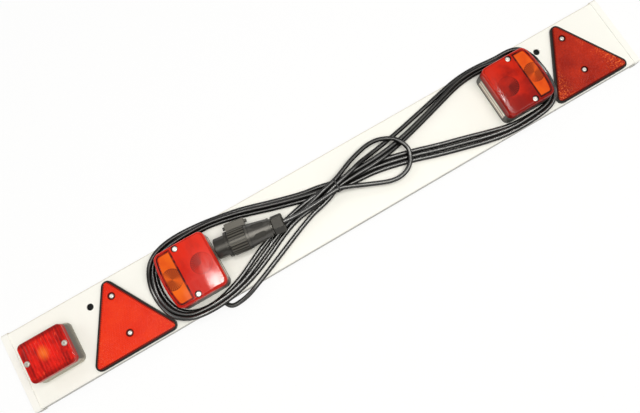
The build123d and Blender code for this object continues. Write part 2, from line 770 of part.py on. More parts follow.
def plug_rear():
    """Rear cone with finger recesses and a rimmed neck; its spigot sits in the back of the housing."""
    shell = Pos(0, 0, plug_body_end) * Cylinder(plug_band_radius, plug_band_length, align=on_floor)
    waist = plug_cone_start - plug_body_end
    shell += Pos(0, 0, plug_body_end) * Cylinder(plug_groove_radius, waist, align=on_floor)
    cone = Cone(plug_cone_front_radius, plug_cone_rear_radius, plug_cone_length, align=on_floor)
    shell += Pos(0, 0, plug_cone_start) * cone
    shell += Pos(0, 0, plug_rim_start) * Cylinder(plug_rim_radius, plug_rim_length, align=on_floor)
    shell += Pos(0, 0, plug_neck_start) * Cylinder(plug_neck_radius, plug_neck_length, align=on_floor)
    slope = math.degrees(math.atan((plug_cone_front_radius - plug_cone_rear_radius) / plug_cone_length))
    mid_radius = (plug_cone_front_radius + plug_cone_rear_radius) / 2
    recess = extrude(SlotOverall(plug_recess_length, plug_recess_width), plug_cone_front_radius)
    seat = Pos(mid_radius - plug_recess_depth, 0, plug_cone_start + plug_cone_length / 2)
    seat *= Rot(0, 90 - slope, 0)
    for number in range(plug_recess_count):
        shell -= Rot(0, 0, number * 360 / plug_recess_count) * seat * recess
    spigot_radius = plug_rear_bore_radius - plug_fit
    spigot = Cylinder(spigot_radius, plug_spigot_length - plug_fit, align=below)
    shell += Pos(0, 0, plug_body_end) * spigot
    bore_start = plug_body_end - plug_spigot_length
    bore_length = plug_nut_start - bore_start
    bore = Cone(
        spigot_radius - plug_cone_wall,
        plug_neck_radius - plug_cone_wall,
        bore_length,
        align=on_floor,
    )
    return shell - Pos(0, 0, bore_start) * bore


def plug_gland_nut():
    nut = Pos(0, 0, plug_nut_start) * hexagon(plug_nut_flats, plug_nut_length)
    ends = nut.faces().sort_by(Axis.Z)
    nut = chamfer(ends[0].edges() + ends[-1].edges(), plug_nut_chamfer)
    bore = Cylinder(plug_seal_radius + plug_fit, plug_nut_length, align=on_floor)
    return nut - Pos(0, 0, plug_nut_start) * bore


def plug_gland_seal():
    seal = Cylinder(plug_seal_radius, plug_seal_length, align=on_floor)
    seal -= Cylinder(cable_radius + grommet_bore_gap, plug_seal_length, align=on_floor)
    return Pos(0, 0, plug_seal_start) * seal


def along_plug(distance):
    """Point on the plug's axis, as plain numbers."""
    point = plug_frame().from_local_coords(Vector(0, 0, distance))
    return (point.X, point.Y, point.Z)


def plug_lead_points():
    """From inside the gland, over the strands and into the crossing."""
    leaves = along_plug(plug_length + 12.0)
    enters = (-4.0, -0.8, 36.6)
    middle = ((leaves[0] + enters[0]) / 2, (leaves[1] + enters[1]) / 2 - 2.0, (leaves[2] + enters[2]) / 2)
    return [along_plug(plug_length - plug_seal_length), leaves, middle, enters]


# Putting the pieces in place

def on_left_lamp(piece):
    return Pos(lamp_left_x, lamp_y, face_z) * mirror(piece, about=Plane.YZ)


def on_right_lamp(piece):
    return Pos(lamp_right_x, lamp_y, face_z) * piece


def on_fog_lamp(piece):
    return Pos(fog_x, fog_y, face_z) * piece


def on_plug(piece):
    return plug_frame() * piece


def lamp_fixings(maker, z):
    """One fastener at each bolt of both lamps, at a height on the bolt's axis."""
    pieces = []
    for lamp_x in (lamp_left_x, lamp_right_x):
        for y in lamp_bolt_ys:
            pieces.append(Pos(lamp_x, lamp_y + y, z) * maker)
    return pieces


def reflector_fixings(maker, z):
    pieces = []
    for x in (reflector_left_x, reflector_right_x):
        for y in reflector_screw_ys:
            pieces.append(Pos(x, y, z) * maker)
    return pieces


def fog_fixings(maker, z):
    return [Pos(fog_x + x, fog_y, z) * maker for x in fog_screw_xs]


def build():
    """Every node of the assembly: a solid, or a list of separate alike solids."""
    nodes = {"board_panel": board_panel()}
    nodes["end_cap_right"] = end_cap()
    nodes["end_cap_left"] = mirror(nodes["end_cap_right"], about=Plane.YZ)

    bulb_solid = bulb()
    lamp_holder = bulb_holder(bulb_axis_height - lamp_floor)
    fog_holder = bulb_holder(fog_bulb_axis_height - fog_floor)
    lamp_pieces = {
        "lamp_base": lamp_base(),
        "lens_seal": lens_seal(),
        "red_lens": red_lens(),
        "amber_lens": amber_lens(),
        "plate_window": plate_window(),
        "lens_screws": lens_screws(),
        "lamp_bulbs": lamp_bulbs(bulb_solid),
        "lamp_bulb_holders": lamp_bulbs(lamp_holder),
    }
    for side, place in (("left", on_left_lamp), ("right", on_right_lamp)):
        for name, piece in lamp_pieces.items():
            grouped = isinstance(piece, list)
            nodes[side + "_" + name] = [place(p) for p in piece] if grouped else place(piece)
    stack = lamp_floor + board_wall + bolt_washer_thickness + bolt_nut_height + bolt_end
    nodes["lamp_bolts"] = lamp_fixings(hex_bolt(stack), face_z + lamp_floor)
    nodes["lamp_washers"] = lamp_fixings(washer(bolt_diameter), back_z)
    bolt_nut = hex_nut(bolt_head_flats, bolt_nut_height, bolt_diameter)
    nodes["lamp_nuts"] = lamp_fixings(bolt_nut, back_z - bolt_washer_thickness)

    nodes["fog_lamp_base"] = on_fog_lamp(fog_base())
    nodes["fog_lamp_seal"] = on_fog_lamp(fog_seal())
    nodes["fog_lamp_lens"] = on_fog_lamp(fog_lens())
    fog_bulb_place = Pos(0, fog_bulb_y, fog_bulb_axis_height)
    nodes["fog_lamp_bulb"] = on_fog_lamp(fog_bulb_place * bulb_solid)
    nodes["fog_lamp_bulb_holder"] = on_fog_lamp(fog_bulb_place * fog_holder)
    fog_stack = fog_depth + board_wall + screw_nut_height + bolt_end
    nodes["fog_lamp_screws"] = fog_fixings(cross_screw(fog_stack, lamp_screw_head), face_z + fog_depth)
    screw_nut = hex_nut(screw_nut_flats, screw_nut_height, screw_diameter)
    nodes["fog_lamp_nuts"] = fog_fixings(screw_nut, back_z)

    backing = reflector_backing()
    plate = reflector_plate()
    for side, x in (("left", reflector_left_x), ("right", reflector_right_x)):
        nodes[side + "_reflector_backing"] = Pos(x, 0, face_z) * backing
        nodes[side + "_reflector_plate"] = Pos(x, 0, face_z) * plate
    seat = reflector_plate_top - reflector_well_depth
    reflector_stack = seat + board_wall + screw_nut_height + bolt_end
    reflector_screw = cross_screw(reflector_stack, reflector_screw_head)
    nodes["reflector_screws"] = reflector_fixings(reflector_screw, face_z + seat)
    nodes["reflector_nuts"] = reflector_fixings(screw_nut, back_z)

    hank = cable_hank()
    nodes["cable_grommet"] = cable_grommet()
    nodes["cable_hank"] = hank
    nodes["cable_lead"] = tube(lead_points, "cable_lead") - hank
    nodes["cable_loop"] = tube(loop_points, "cable_loop") - hank
    nodes["cable_plug_lead"] = tube(plug_lead_points(), "cable_plug_lead") - hank
    nodes["cable_tie"] = tie_ring(0, 0)

    nodes["plug_housing"] = on_plug(plug_housing())
    nodes["plug_pin_carrier"] = on_plug(plug_carrier())
    nodes["plug_pins"] = [on_plug(pin) for pin in plug_pins()]
    nodes["plug_rear"] = on_plug(plug_rear())
    nodes["plug_gland_nut"] = on_plug(plug_gland_nut())
    nodes["plug_gland_seal"] = on_plug(plug_gland_seal())
    return nodes


def main():
    os.makedirs("parts", exist_ok=True)
    for name, piece in build().items():
        shape = Compound(children=piece) if isinstance(piece, list) else piece
        export_step(shape, os.path.join("parts", name + ".step"))


main()
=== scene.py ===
import json
import math

import bmesh
import bpy
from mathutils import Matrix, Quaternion, Vector


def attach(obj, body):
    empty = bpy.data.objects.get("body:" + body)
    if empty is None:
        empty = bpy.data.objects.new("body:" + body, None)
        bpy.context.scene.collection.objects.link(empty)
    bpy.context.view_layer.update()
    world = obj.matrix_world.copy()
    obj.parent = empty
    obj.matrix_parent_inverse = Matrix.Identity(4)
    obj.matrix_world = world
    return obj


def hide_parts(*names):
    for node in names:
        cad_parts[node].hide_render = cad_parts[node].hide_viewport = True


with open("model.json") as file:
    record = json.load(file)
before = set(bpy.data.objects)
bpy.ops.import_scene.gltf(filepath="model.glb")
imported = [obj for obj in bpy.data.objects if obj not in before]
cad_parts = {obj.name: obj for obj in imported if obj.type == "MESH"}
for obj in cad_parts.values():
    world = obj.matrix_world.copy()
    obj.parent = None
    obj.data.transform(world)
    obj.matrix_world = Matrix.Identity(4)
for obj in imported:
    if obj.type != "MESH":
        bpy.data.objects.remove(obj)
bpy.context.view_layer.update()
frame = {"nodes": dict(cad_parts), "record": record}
nodes = frame["nodes"]

# Trailer lighting board lying on its back: X along the board, Y up the board, Z out of its face.
# Places are written in millimetres and turned into metres where a mesh or curve is made.


def extent(name):
    """Lowest and highest corner of a CAD node."""
    corners = [Vector(corner) * 1000 for corner in nodes[name].bound_box]
    return [[pick(c[axis] for c in corners) for axis in range(3)] for pick in (min, max)]


def middle(name):
    """Middle of a CAD node's box."""
    low, high = extent(name)
    return [(a + b) / 2 for a, b in zip(low, high)]


def half_size(name):
    """Half the length of a CAD node's box along each axis."""
    low, high = extent(name)
    return [(b - a) / 2 for a, b in zip(low, high)]


BOARD_HALF_LENGTH = extent("board_panel")[1][0]
BOARD_HALF_HEIGHT = extent("board_panel")[1][1]
CAP_HALF_HEIGHT = extent("end_cap_left")[1][1]
FACE_Z = extent("board_panel")[1][2]

LEFT_LAMP = middle("left_lamp_base")
RIGHT_LAMP = middle("right_lamp_base")
LENS_FRONT_Z = extent("left_red_lens")[1][2]
LAMP_HALF_WIDTH, LAMP_HALF_HEIGHT = half_size("left_red_lens")[:2]
LAMP_END_RADIUS = 199.4
LAMP_CORNER = 11.5
LENS_RIM_LINE = (2.4, 3.6)
LENS_WALL_START = 8.0
LENS_WALL_FULL = 12.0
LENS_WALL_RIB_PITCH = 3.2
LENS_SCREW_U = 4.0
LENS_SCREW_V = 42.7
LENS_WELL_RADIUS = 5.4
RED_OPTIC_U = -24.0
AMBER_OPTIC_U = 30.5
OPTIC_V = -0.7
OPTIC_RADIUS = 19.0
OPTIC_RING_PITCH = 2.3
OPTIC_SPOKES = 30
AMBER_INNER_U = 15.0
AMBER_MARGIN = 7.0
AMBER_FRAME_WIDTH = 2.7
AMBER_LINE_PITCH = 2.4
WINDOW_RIB_PITCH = 8.0

FOG_LAMP = middle("fog_lamp_lens")
FOG_FRONT_Z = extent("fog_lamp_lens")[1][2]
FOG_HALF_WIDTH, FOG_HALF_HEIGHT = half_size("fog_lamp_lens")[:2]
FOG_GLOW_U = -3.4
FOG_GLOW_V = 2.0
FLUTE_COUNT = 12
FLUTE_PITCH = 5.4
FLUTE_LENGTH = 54.0
FLUTE_SHORTEST = 0.88
FLUTE_HEIGHT = 0.2
FLUTE_SIDES = 16
FLUTE_RADIUS_PER_PITCH = 0.46

LEFT_REFLECTOR_X = middle("left_reflector_plate")[0]
RIGHT_REFLECTOR_X = middle("right_reflector_plate")[0]
REFLECTOR_TOP_Z = extent("left_reflector_plate")[1][2]
REFLECTOR_BASE_Y = extent("left_reflector_backing")[0][1]
REFLECTOR_SIDE = 165.0
REFLECTOR_RIM = 2.8
REFLECTOR_BORDER = 3.0
REFLECTOR_SCREW_YS = (35.85, -34.65)
REFLECTOR_WELL_RADIUS = 6.4
TRIANGLE_RISE = math.sqrt(0.75)
PRISM_PITCH = 3.2
PRISM_HEIGHT = 0.22
PRISM_SIDES = 6
PRISM_RADIUS_PER_PITCH = 0.56
PRISM_RIM_GAP = 3.6
PRISM_WELL_GAP = 2.2

CABLE_DIAMETER = 8.0
CABLE_EXIT = (-257.0, -70.0, 10.0)

PLUG_NOSE = (-222.0, 12.0, 41.8)
PLUG_YAW = math.radians(-8.2)
PLUG_TILT = math.radians(3.0)
PLUG_AXIS = (
    math.cos(PLUG_TILT) * math.cos(PLUG_YAW),
    math.cos(PLUG_TILT) * math.sin(PLUG_YAW),
    math.sin(PLUG_TILT),
)
PLUG_GRIP_START = 26.0
PLUG_GRIP_END = 62.5
PLUG_GROOVE_RADIUS = 20.6
PLUG_RIB_RADIUS = 22.3

TIE_X = 10.0
TIE_LOW_Y = -5.6
TIE_HIGH_Y = 19.6
TIE_LOW_Z = 20.25
TIE_HIGH_Z = 43.4
TIE_WIDTH = 2.8
TIE_WALL = 0.9
TIE_CORNER = 6.0
TIE_CORNER_STEPS = 8
TIE_EDGE = 0.2

# The studio is in metres; the camera's place, turn in degrees and focal length fit the photograph
FLOOR_SIZE = 9.0
FLOOR_DROP = 0.0006
WARM_WHITE = (1.0, 0.985, 0.95)
WARMER_WHITE = (1.0, 0.985, 0.92)
ROOM_LIGHT = 0.24
ROOM_SEEN = 0.97
CAMERA_PLACE = (-0.12061, -0.18858, 1.00577)
CAMERA_TURN = (11.45091, 0.84753, -30.34070)
CAMERA_FOCAL = 32.346
CAMERA_SENSOR = 36.0


def metres(point):
    """Place in metres of a point in millimetres."""
    return tuple(c / 1000 for c in point)


def paint(red, green, blue):
    """Screen colour, 0 to 255, as the linear colour that a shader takes."""
    def linear(c):
        c /= 255
        return c / 12.92 if c <= 0.04045 else ((c + 0.055) / 1.055) ** 2.4
    return (linear(red), linear(green), linear(blue), 1.0)


def shaded(tint, factor):
    """Colour made darker or paler by a factor."""
    return tuple(min(1.0, c * factor) for c in tint[:3]) + (1.0,)


# Finishes

class Wire:
    """A number in a finish; sums on it add Math nodes."""

    def __init__(self, finish, socket):
        self.finish = finish
        self.socket = socket

    def maths(self, operation, *values):
        return self.finish.node("ShaderNodeMath", {"operation": operation}, dict(enumerate(values)))

    def __add__(self, other):
        return self.maths("ADD", self, other)

    def __radd__(self, other):
        return self.maths("ADD", other, self)

    def __sub__(self, other):
        return self.maths("SUBTRACT", self, other)

    def __rsub__(self, other):
        return self.maths("SUBTRACT", other, self)

    def __mul__(self, other):
        return self.maths("MULTIPLY", self, other)

    def __rmul__(self, other):
        return self.maths("MULTIPLY", other, self)

    def __truediv__(self, other):
        return self.maths("DIVIDE", self, other)

    def __rtruediv__(self, other):
        return self.maths("DIVIDE", other, self)

    def __pow__(self, other):
        return self.maths("POWER", self, other)

    def __mod__(self, other):
        return self.maths("MODULO", self, other)

    def __neg__(self):
        return self.maths("MULTIPLY", self, -1.0)

    def __abs__(self):
        return self.maths("ABSOLUTE", self)

    def most(self, other):
        return self.maths("MAXIMUM", self, other)

    def least(self, other):
        return self.maths("MINIMUM", self, other)

    def floor(self):
        return self.maths("FLOOR", self)

    def wave(self, pitch):
        """0 to 1 and back over every pitch."""
        return self.maths("SINE", self * (2 * math.pi / pitch)) * 0.5 + 0.5

    def rise(self, start, end):
        """0 before start and 1 after end, eased between them."""
        settings = {"interpolation_type": "SMOOTHSTEP"}
        return self.finish.node("ShaderNodeMapRange", settings, {0: self, 1: start, 2: end, 3: 0.0, 4: 1.0})

    def band(self, start, end, soft):
        """1 between start and end, with soft edges."""
        return self.rise(start - soft, start + soft) * (1.0 - self.rise(end - soft, end + soft))


def distance(a, b):
    """Length of a line that goes a one way and b at a right angle to it."""
    return (a * a + b * b) ** 0.5


class Finish:
    """One material: a Principled shader with constants on its own sockets and patterns linked to it."""

    def __init__(self, name, constants):
        self.material = bpy.data.materials.new(name)
        self.material.use_nodes = True
        self.tree = self.material.node_tree
        self.shader = self.tree.nodes["Principled BSDF"]
        coordinates = self.tree.nodes.new("ShaderNodeTexCoord").outputs
        self.object = coordinates["Object"]
        self.normal = coordinates["Normal"]
        for socket, value in constants.items():
            self.shader.inputs[socket].default_value = value

    def node(self, kind, settings, sockets, output=0):
        made = self.tree.nodes.new(kind)
        for key, value in settings.items():
            setattr(made, key, value)
        for key, value in sockets.items():
            self.feed(made.inputs[key], value)
        return Wire(self, made.outputs[output])

    def feed(self, socket, value):
        if isinstance(value, Wire):
            self.tree.links.new(value.socket, socket)
        else:
            socket.default_value = value

    def set(self, name, value):
        self.feed(self.shader.inputs[name], value)

    def places(self):
        """X, Y and Z of the surface in millimetres, in the board's frame."""
        whole = Wire(self, self.object)
        return [self.node("ShaderNodeSeparateXYZ", {}, {0: whole}, axis) * 1000.0 for axis in range(3)]

    def upward(self):
        """1 where the surface faces straight out of the board's face, 0 on upright sides."""
        return self.node("ShaderNodeSeparateXYZ", {}, {0: Wire(self, self.normal)}, 2)

    def noise(self, scale, detail=2.0, stretch=(1.0, 1.0, 1.0)):
        """Soft noise from 0 to 1; scale is in features per metre."""
        spread = self.node("ShaderNodeMapping", {}, {"Vector": Wire(self, self.object), "Scale": stretch})
        return self.node("ShaderNodeTexNoise", {}, {"Vector": spread, "Scale": scale, "Detail": detail})

    def mix(self, factor, first, second):
        return self.node("ShaderNodeMix", {"data_type": "RGBA"}, {0: factor, 6: first, 7: second}, 2)

    def relief(self, height, strength, depth):
        """Bump of the given depth in metres."""
        bump = self.node("ShaderNodeBump", {}, {"Height": height, "Strength": strength, "Distance": depth})
        self.set("Normal", bump)


def white_coat(name, tint, half_height, rough):
    """Satin white skin: faint clouding and orange peel, tan wear on the upper edge, painted shade on the
    lower flange.
    """
    f = Finish(name, {"Specular IOR Level": 0.35})
    _, y, _ = f.places()
    shade = f.mix(f.noise(7.0, 3.0), tint, shaded(tint, 0.97))
    worn = y.rise(half_height - 2.4, half_height - 0.8) * (0.35 + 0.6 * f.noise(60.0, 3.0, (0.25, 1.0, 1.0)))
    shade = f.mix(worn, shade, paint(206, 195, 168))
    # Painted shade: the lower flange is coloured grey as if it lay in shadow
    flange = (-y).rise(half_height - 0.3, half_height - 0.05)
    f.set("Base Color", f.mix(flange * 0.85, shade, paint(150, 147, 138)))
    f.set("Roughness", rough + 0.12 * f.noise(140.0, 2.0))
    f.relief(f.noise(900.0, 2.0), 0.10, 0.0004)
    return f.material


def moulded(name, tint, rough, grain, depth, shine=0.5):
    """Moulded plastic or rubber with a fine spark-eroded grain and slightly uneven gloss."""
    f = Finish(name, {"Specular IOR Level": shine})
    f.set("Base Color", f.mix(f.noise(55.0, 3.0), shaded(tint, 0.75), shaded(tint, 1.25)))
    f.set("Roughness", rough + 0.14 * (f.noise(210.0, 2.0) - 0.5))
    f.relief(f.noise(grain, 2.0), 0.35, depth)
    return f.material


def bright_metal(name, tint, metallic, rough, spots):
    """Plated metal with a fine turned haze and small dull spots."""
    f = Finish(name, {"Metallic": metallic})
    haze = f.noise(spots, 4.0)
    f.set("Base Color", f.mix(haze.rise(0.35, 0.8), tint, shaded(tint, 0.78)))
    f.set("Roughness", rough + 0.22 * haze)
    f.relief(f.noise(1500.0, 2.0), 0.08, 0.0002)
    return f.material


# Gloss that the red and amber lenses and the reflectors share
LENS_GLOSS = {"Coat IOR": 1.5, "Specular IOR Level": 0.08}


def lamp_plan(f, lamp, outward):
    """U from a lamp's middle to its outer end, V up the board, Z, and the depth inside its outline."""
    x, y, z = f.places()
    u = (x - lamp[0]) * outward
    v = y - lamp[1]
    bowed_end = LAMP_END_RADIUS - distance(u + (LAMP_END_RADIUS - LAMP_HALF_WIDTH), v)
    from_ends = (LAMP_CORNER - (u + LAMP_HALF_WIDTH).least(bowed_end)).most(0.0)
    from_sides = (LAMP_CORNER - (LAMP_HALF_HEIGHT - abs(v))).most(0.0)
    return u, v, z, LAMP_CORNER - distance(from_ends, from_sides)


def amber_slot(u, inside):
    """Distance outside the slot of the amber strip, negative within it."""
    return (AMBER_INNER_U - u).most(AMBER_MARGIN - inside)


def beam_optic(u, v, centre_u, fan_side, two_sided):
    """Bull's-eye of a lens: its painted shade and the height of its ring prisms."""
    du = u - centre_u
    dv = v - OPTIC_V
    away = distance(du, dv)
    disc = 1.0 - away.rise(OPTIC_RADIUS - 0.9, OPTIC_RADIUS)
    rings = away.wave(OPTIC_RING_PITCH)
    spokes = du.maths("ARCTAN2", dv, du).wave(2 * math.pi / OPTIC_SPOKES)
    toward = (du * fan_side[0] + dv * fan_side[1]) / away.most(0.5)
    fan = (abs(toward) if two_sided else toward).rise(0.0, 0.85)
    outline = away.band(OPTIC_RADIUS - 1.6, OPTIC_RADIUS - 0.2, 0.5)
    # Painted shade: the lamp's dark inside seen through the bull's-eye, deepest on the fan side, with its
    # rings and spokes
    dark = disc * (0.08 + 0.14 * rings + 0.42 * fan + 0.34 * fan * spokes) + 0.2 * outline
    return dark, disc * rings


def red_lens_finish(name, lamp, outward, deep, bright, fan_side, painted_light_side, optic_shade):
    """Red lens: clouded field under a painted light gradient, bull's-eye in painted shade, rim line, and
    painted shade on its ribbed walls, in its screw wells and round the amber slot.
    """
    f = Finish(name, {**LENS_GLOSS, "Coat Roughness": 0.10})
    u, v, z, inside = lamp_plan(f, lamp, outward)
    cloud = f.noise(34.0, 4.0)
    # Painted light: the field grows paler towards the painted light side, as if lit from there
    cloud_and_painted_light = cloud + (u * painted_light_side[0] + v * painted_light_side[1]) * 0.005
    field = f.mix(cloud_and_painted_light.rise(0.3, 0.7), deep, bright)
    rays = f.noise(70.0, 3.0, (1.0, 0.35, 1.0)).rise(0.5, 0.72)
    field = f.mix(rays * 0.3, field, shaded(deep, 0.6))
    dark, rings = beam_optic(u, v, RED_OPTIC_U, fan_side, False)
    # Painted shade of the bull's-eye
    field = f.mix(dark * optic_shade, field, paint(74, 9, 7))
    field = f.mix(inside.band(*LENS_RIM_LINE, 0.5) * 0.45, field, paint(112, 10, 8))
    walls = 1.0 - z.rise(LENS_FRONT_Z - LENS_WALL_FULL, LENS_FRONT_Z - LENS_WALL_START)
    ribs = (u + v).wave(LENS_WALL_RIB_PITCH)
    # Painted shade: the lens walls are darker red than its front, with their ribs showing
    field = f.mix(walls * (0.45 + 0.45 * ribs), field, paint(128, 8, 8))
    from_screw = distance(u - LENS_SCREW_U, abs(v) - LENS_SCREW_V)
    well = 1.0 - from_screw.rise(LENS_WELL_RADIUS, LENS_WELL_RADIUS + 0.8)
    # Painted shade in the screw wells
    field = f.mix(well * 0.9, field, paint(64, 9, 8))
    # Painted shade along the step round the amber slot, broken in places
    slot_shade_line = amber_slot(u, inside).band(0.0, AMBER_FRAME_WIDTH, 0.4)
    breaks = 0.6 + 0.4 * f.noise(90.0, 2.0).rise(0.4, 0.55)
    f.set("Base Color", f.mix(slot_shade_line * breaks, field, paint(52, 10, 8)))
    f.set("Roughness", 0.24 + 0.12 * f.noise(120.0, 2.0))
    streaks = f.noise(150.0, 3.0, (1.0, 0.2, 1.0))
    polish = (streaks * 0.7 + cloud * 0.3).rise(0.38, 0.56)
    f.set("Coat Weight", (0.55 - 0.42 * walls) * (0.4 + 0.6 * polish))
    f.relief(streaks * 0.5 * (1.0 - rings) + rings, 0.22, 0.0005)
    return f.material


def amber_lens_finish(name, lamp, outward, deep, bright, fan_side):
    """Amber strip with the bull's-eye cut off by its long edges."""
    f = Finish(name, {**LENS_GLOSS, "Coat Weight": 0.7, "Coat Roughness": 0.06})
    u, v, _, inside = lamp_plan(f, lamp, outward)
    field = f.mix(f.noise(34.0, 4.0).rise(0.25, 0.75), deep, bright)
    dark, rings = beam_optic(u, v, AMBER_OPTIC_U, fan_side, True)
    # Painted shade of the bull's-eye
    field = f.mix(dark * 0.9, field, paint(112, 34, 8))
    # Painted shade along the amber strip's long edges, where it meets the red lens
    edge = amber_slot(u, inside).rise(-1.5, -0.2)
    f.set("Base Color", f.mix(edge * 0.75, field, paint(92, 18, 8)))
    f.set("Roughness", 0.24 + 0.12 * f.noise(120.0, 2.0))
    f.relief(u.wave(AMBER_LINE_PITCH) * 0.5 * (1.0 - rings) + rings, 0.22, 0.0005)
    return f.material


def window_finish():
    """Clear ribbed strip, milky where its ribs and scratches scatter the light."""
    f = Finish("window_clear_ribs", {"Coat Weight": 0.6, "Coat Roughness": 0.06})
    _, _, z = f.places()
    ribs = z.wave(WINDOW_RIB_PITCH)
    streaks = f.noise(70.0, 3.0, (1.0, 0.15, 1.0))
    field = f.mix(streaks.rise(0.35, 0.8), paint(252, 246, 230), paint(218, 204, 182))
    f.set("Base Color", f.mix(ribs.rise(0.6, 1.0) * 0.7, field, paint(136, 112, 104)))
    f.set("Roughness", 0.22 + 0.2 * streaks)
    f.relief(ribs, 0.25, 0.0006)
    return f.material


def fog_lens_finish():
    """Deep red lens with dark and bright streaks along its flutes and a painted warm glow of light over the
    bulb.
    """
    f = Finish("fog_lens_red", {**LENS_GLOSS, "Coat Roughness": 0.06})
    x, y, z = f.places()
    u = x - FOG_LAMP[0]
    v = y - FOG_LAMP[1]
    drift = f.noise(120.0, 4.0, (1.0, 0.12, 1.0))
    fine = f.noise(430.0, 3.0, (1.0, 0.3, 1.0))
    patch = f.noise(52.0, 3.0)
    flute = (u + FLUTE_PITCH / 4).wave(FLUTE_PITCH)
    # Painted light: a warm glow over the bulb brightens the streaks near it and colours the spot around it
    near = 1.0 - distance(u - FOG_GLOW_U, v * 0.8 - FOG_GLOW_V).rise(2.0, 36.0)
    streak = (flute * 0.14 + drift * 0.90 + fine * 0.45 + patch * 0.35 + near * 0.2).rise(0.62, 1.22)
    field = f.mix(streak, paint(118, 6, 6), paint(234, 26, 10))
    glow_spot = (1.0 - distance(u - FOG_GLOW_U, v * 0.7 - FOG_GLOW_V).rise(0.0, 12.0)) * (0.1 + 0.9 * streak)
    field = f.mix(glow_spot * 0.9, field, paint(248, 122, 36))
    glints = fine.rise(0.62, 0.72) * patch.rise(0.45, 0.6)
    field = f.mix(glints * 0.7, field, paint(240, 84, 50))
    ends = abs(v).rise(FOG_HALF_HEIGHT - 9.0, FOG_HALF_HEIGHT - 3.5)
    field = f.mix(ends * (0.2 + 0.6 * drift), field, paint(84, 6, 6))
    walls = 1.0 - z.rise(FOG_FRONT_Z - 2.8, FOG_FRONT_Z - 2.0)
    # Painted shade: the lens walls are a deeper red than its front
    field = f.mix(walls * 0.9, field, paint(190, 8, 10))
    lit_edge = z.band(FOG_FRONT_Z - 2.3, FOG_FRONT_Z - 1.3, 0.3) * u.most(-v).rise(24.0, 30.0)
    f.set("Base Color", f.mix(lit_edge * (0.35 + 0.5 * patch), field, paint(246, 150, 136)))
    f.set("Roughness", 0.24 + 0.14 * drift)
    f.set("Coat Weight", 0.5 - 0.45 * walls)
    f.relief(flute, 0.10, 0.0006)
    return f.material


def fog_base_finish():
    """Grey lamp base, with painted shade on the wall towards the board's middle."""
    f = Finish("fog_base_grey", {"Specular IOR Level": 0.3})
    x, _, z = f.places()
    field = f.mix(f.noise(55.0, 3.0), paint(196, 190, 174), paint(182, 176, 162))
    # Painted shade on the wall towards the board's middle, deeper higher up
    inner_wall_shade = (x - FOG_LAMP[0]).rise(FOG_HALF_WIDTH - 3.0, FOG_HALF_WIDTH - 1.0)
    upper = z.rise(FACE_Z + 2.0, FACE_Z + 16.0)
    f.set("Base Color", f.mix(inner_wall_shade * (0.45 + 0.4 * upper), field, paint(84, 82, 78)))
    f.set("Roughness", 0.50 + 0.14 * (f.noise(210.0, 2.0) - 0.5))
    f.relief(f.noise(1100.0, 2.0), 0.35, 0.0004)
    return f.material


def reflector_depth(u, v):
    """Depth inside the outline of a triangular reflector, with V from its base."""
    height = REFLECTOR_SIDE * TRIANGLE_RISE
    return v.least(0.5 * (height - v) - TRIANGLE_RISE * abs(u))


def reflector_finish(name, middle_x, deep, bright, spark, sparkle):
    """Red prismatic plate: drifting patches, speckle, glints at its lower corners, painted shade along its
    edges and in its wells.
    """
    f = Finish(name, {**LENS_GLOSS, "Coat Weight": 0.22, "Coat Roughness": 0.10})
    x, y, _ = f.places()
    u = x - middle_x
    v = y - REFLECTOR_BASE_Y
    patches = f.noise(22.0, 4.0)
    speckle = f.noise(330.0, 3.0)
    field = f.mix((patches * 0.7 + speckle * 0.3).rise(0.34, 0.66), deep, bright)
    corners = abs(u).rise(30.0, 66.0)
    glints = speckle.rise(0.50, 0.62) * (corners * 0.75 + patches.rise(0.58, 0.7) * 0.3) * sparkle
    field = f.mix(glints, field, spark)
    inside = reflector_depth(u, v)
    edge = REFLECTOR_RIM + REFLECTOR_BORDER
    # Painted shade along the plate's serrated edges next to the rim, deepest along its lower edge
    border = 1.0 - (inside + 2.2 * v.wave(2.6)).rise(edge, edge + 0.7)
    lower_edge = 1.0 - (v + 1.2 * u.wave(3.0)).rise(edge, edge + 1.0)
    field = f.mix(border.most(lower_edge) * 0.85, field, paint(58, 10, 8))
    for screw_y in REFLECTOR_SCREW_YS:
        # Painted shade in the screw wells
        well = 1.0 - distance(u, y - screw_y).rise(REFLECTOR_WELL_RADIUS - 0.2, REFLECTOR_WELL_RADIUS + 0.7)
        field = f.mix(well * 0.9, field, paint(52, 9, 8))
    f.set("Base Color", field)
    f.set("Roughness", 0.26 + 0.2 * speckle)
    f.relief(speckle, 0.15, 0.0005)
    return f.material


def glass_finish():
    """Bulb glass with a slight haze."""
    f = Finish("bulb_clear_glass", {"Coat Weight": 1.0, "Coat Roughness": 0.02})
    haze = f.noise(160.0, 2.0)
    f.set("Base Color", f.mix(haze, paint(206, 206, 200), paint(170, 168, 160)))
    f.set("Roughness", 0.08 + 0.1 * haze)
    return f.material


def cable_finish():
    """Black PVC sheath, polished along its top, dull on its sides and on the strands up the board."""
    f = Finish("cable_sheath_black", {"Coat Roughness": 0.27, "Coat IOR": 2.2, "Specular IOR Level": 0.02})
    _, y, _ = f.places()
    dust = f.noise(95.0, 4.0)
    f.set("Base Color", f.mix(dust.rise(0.45, 0.85), paint(15, 14, 13), paint(30, 28, 24)))
    f.set("Roughness", 0.30 + 0.16 * f.noise(260.0, 2.0))
    dull = y.rise(-6.0, 26.0)
    f.set("Coat Weight", f.upward().rise(0.45, 0.85) * (1.0 - 0.62 * dull))
    return f.material


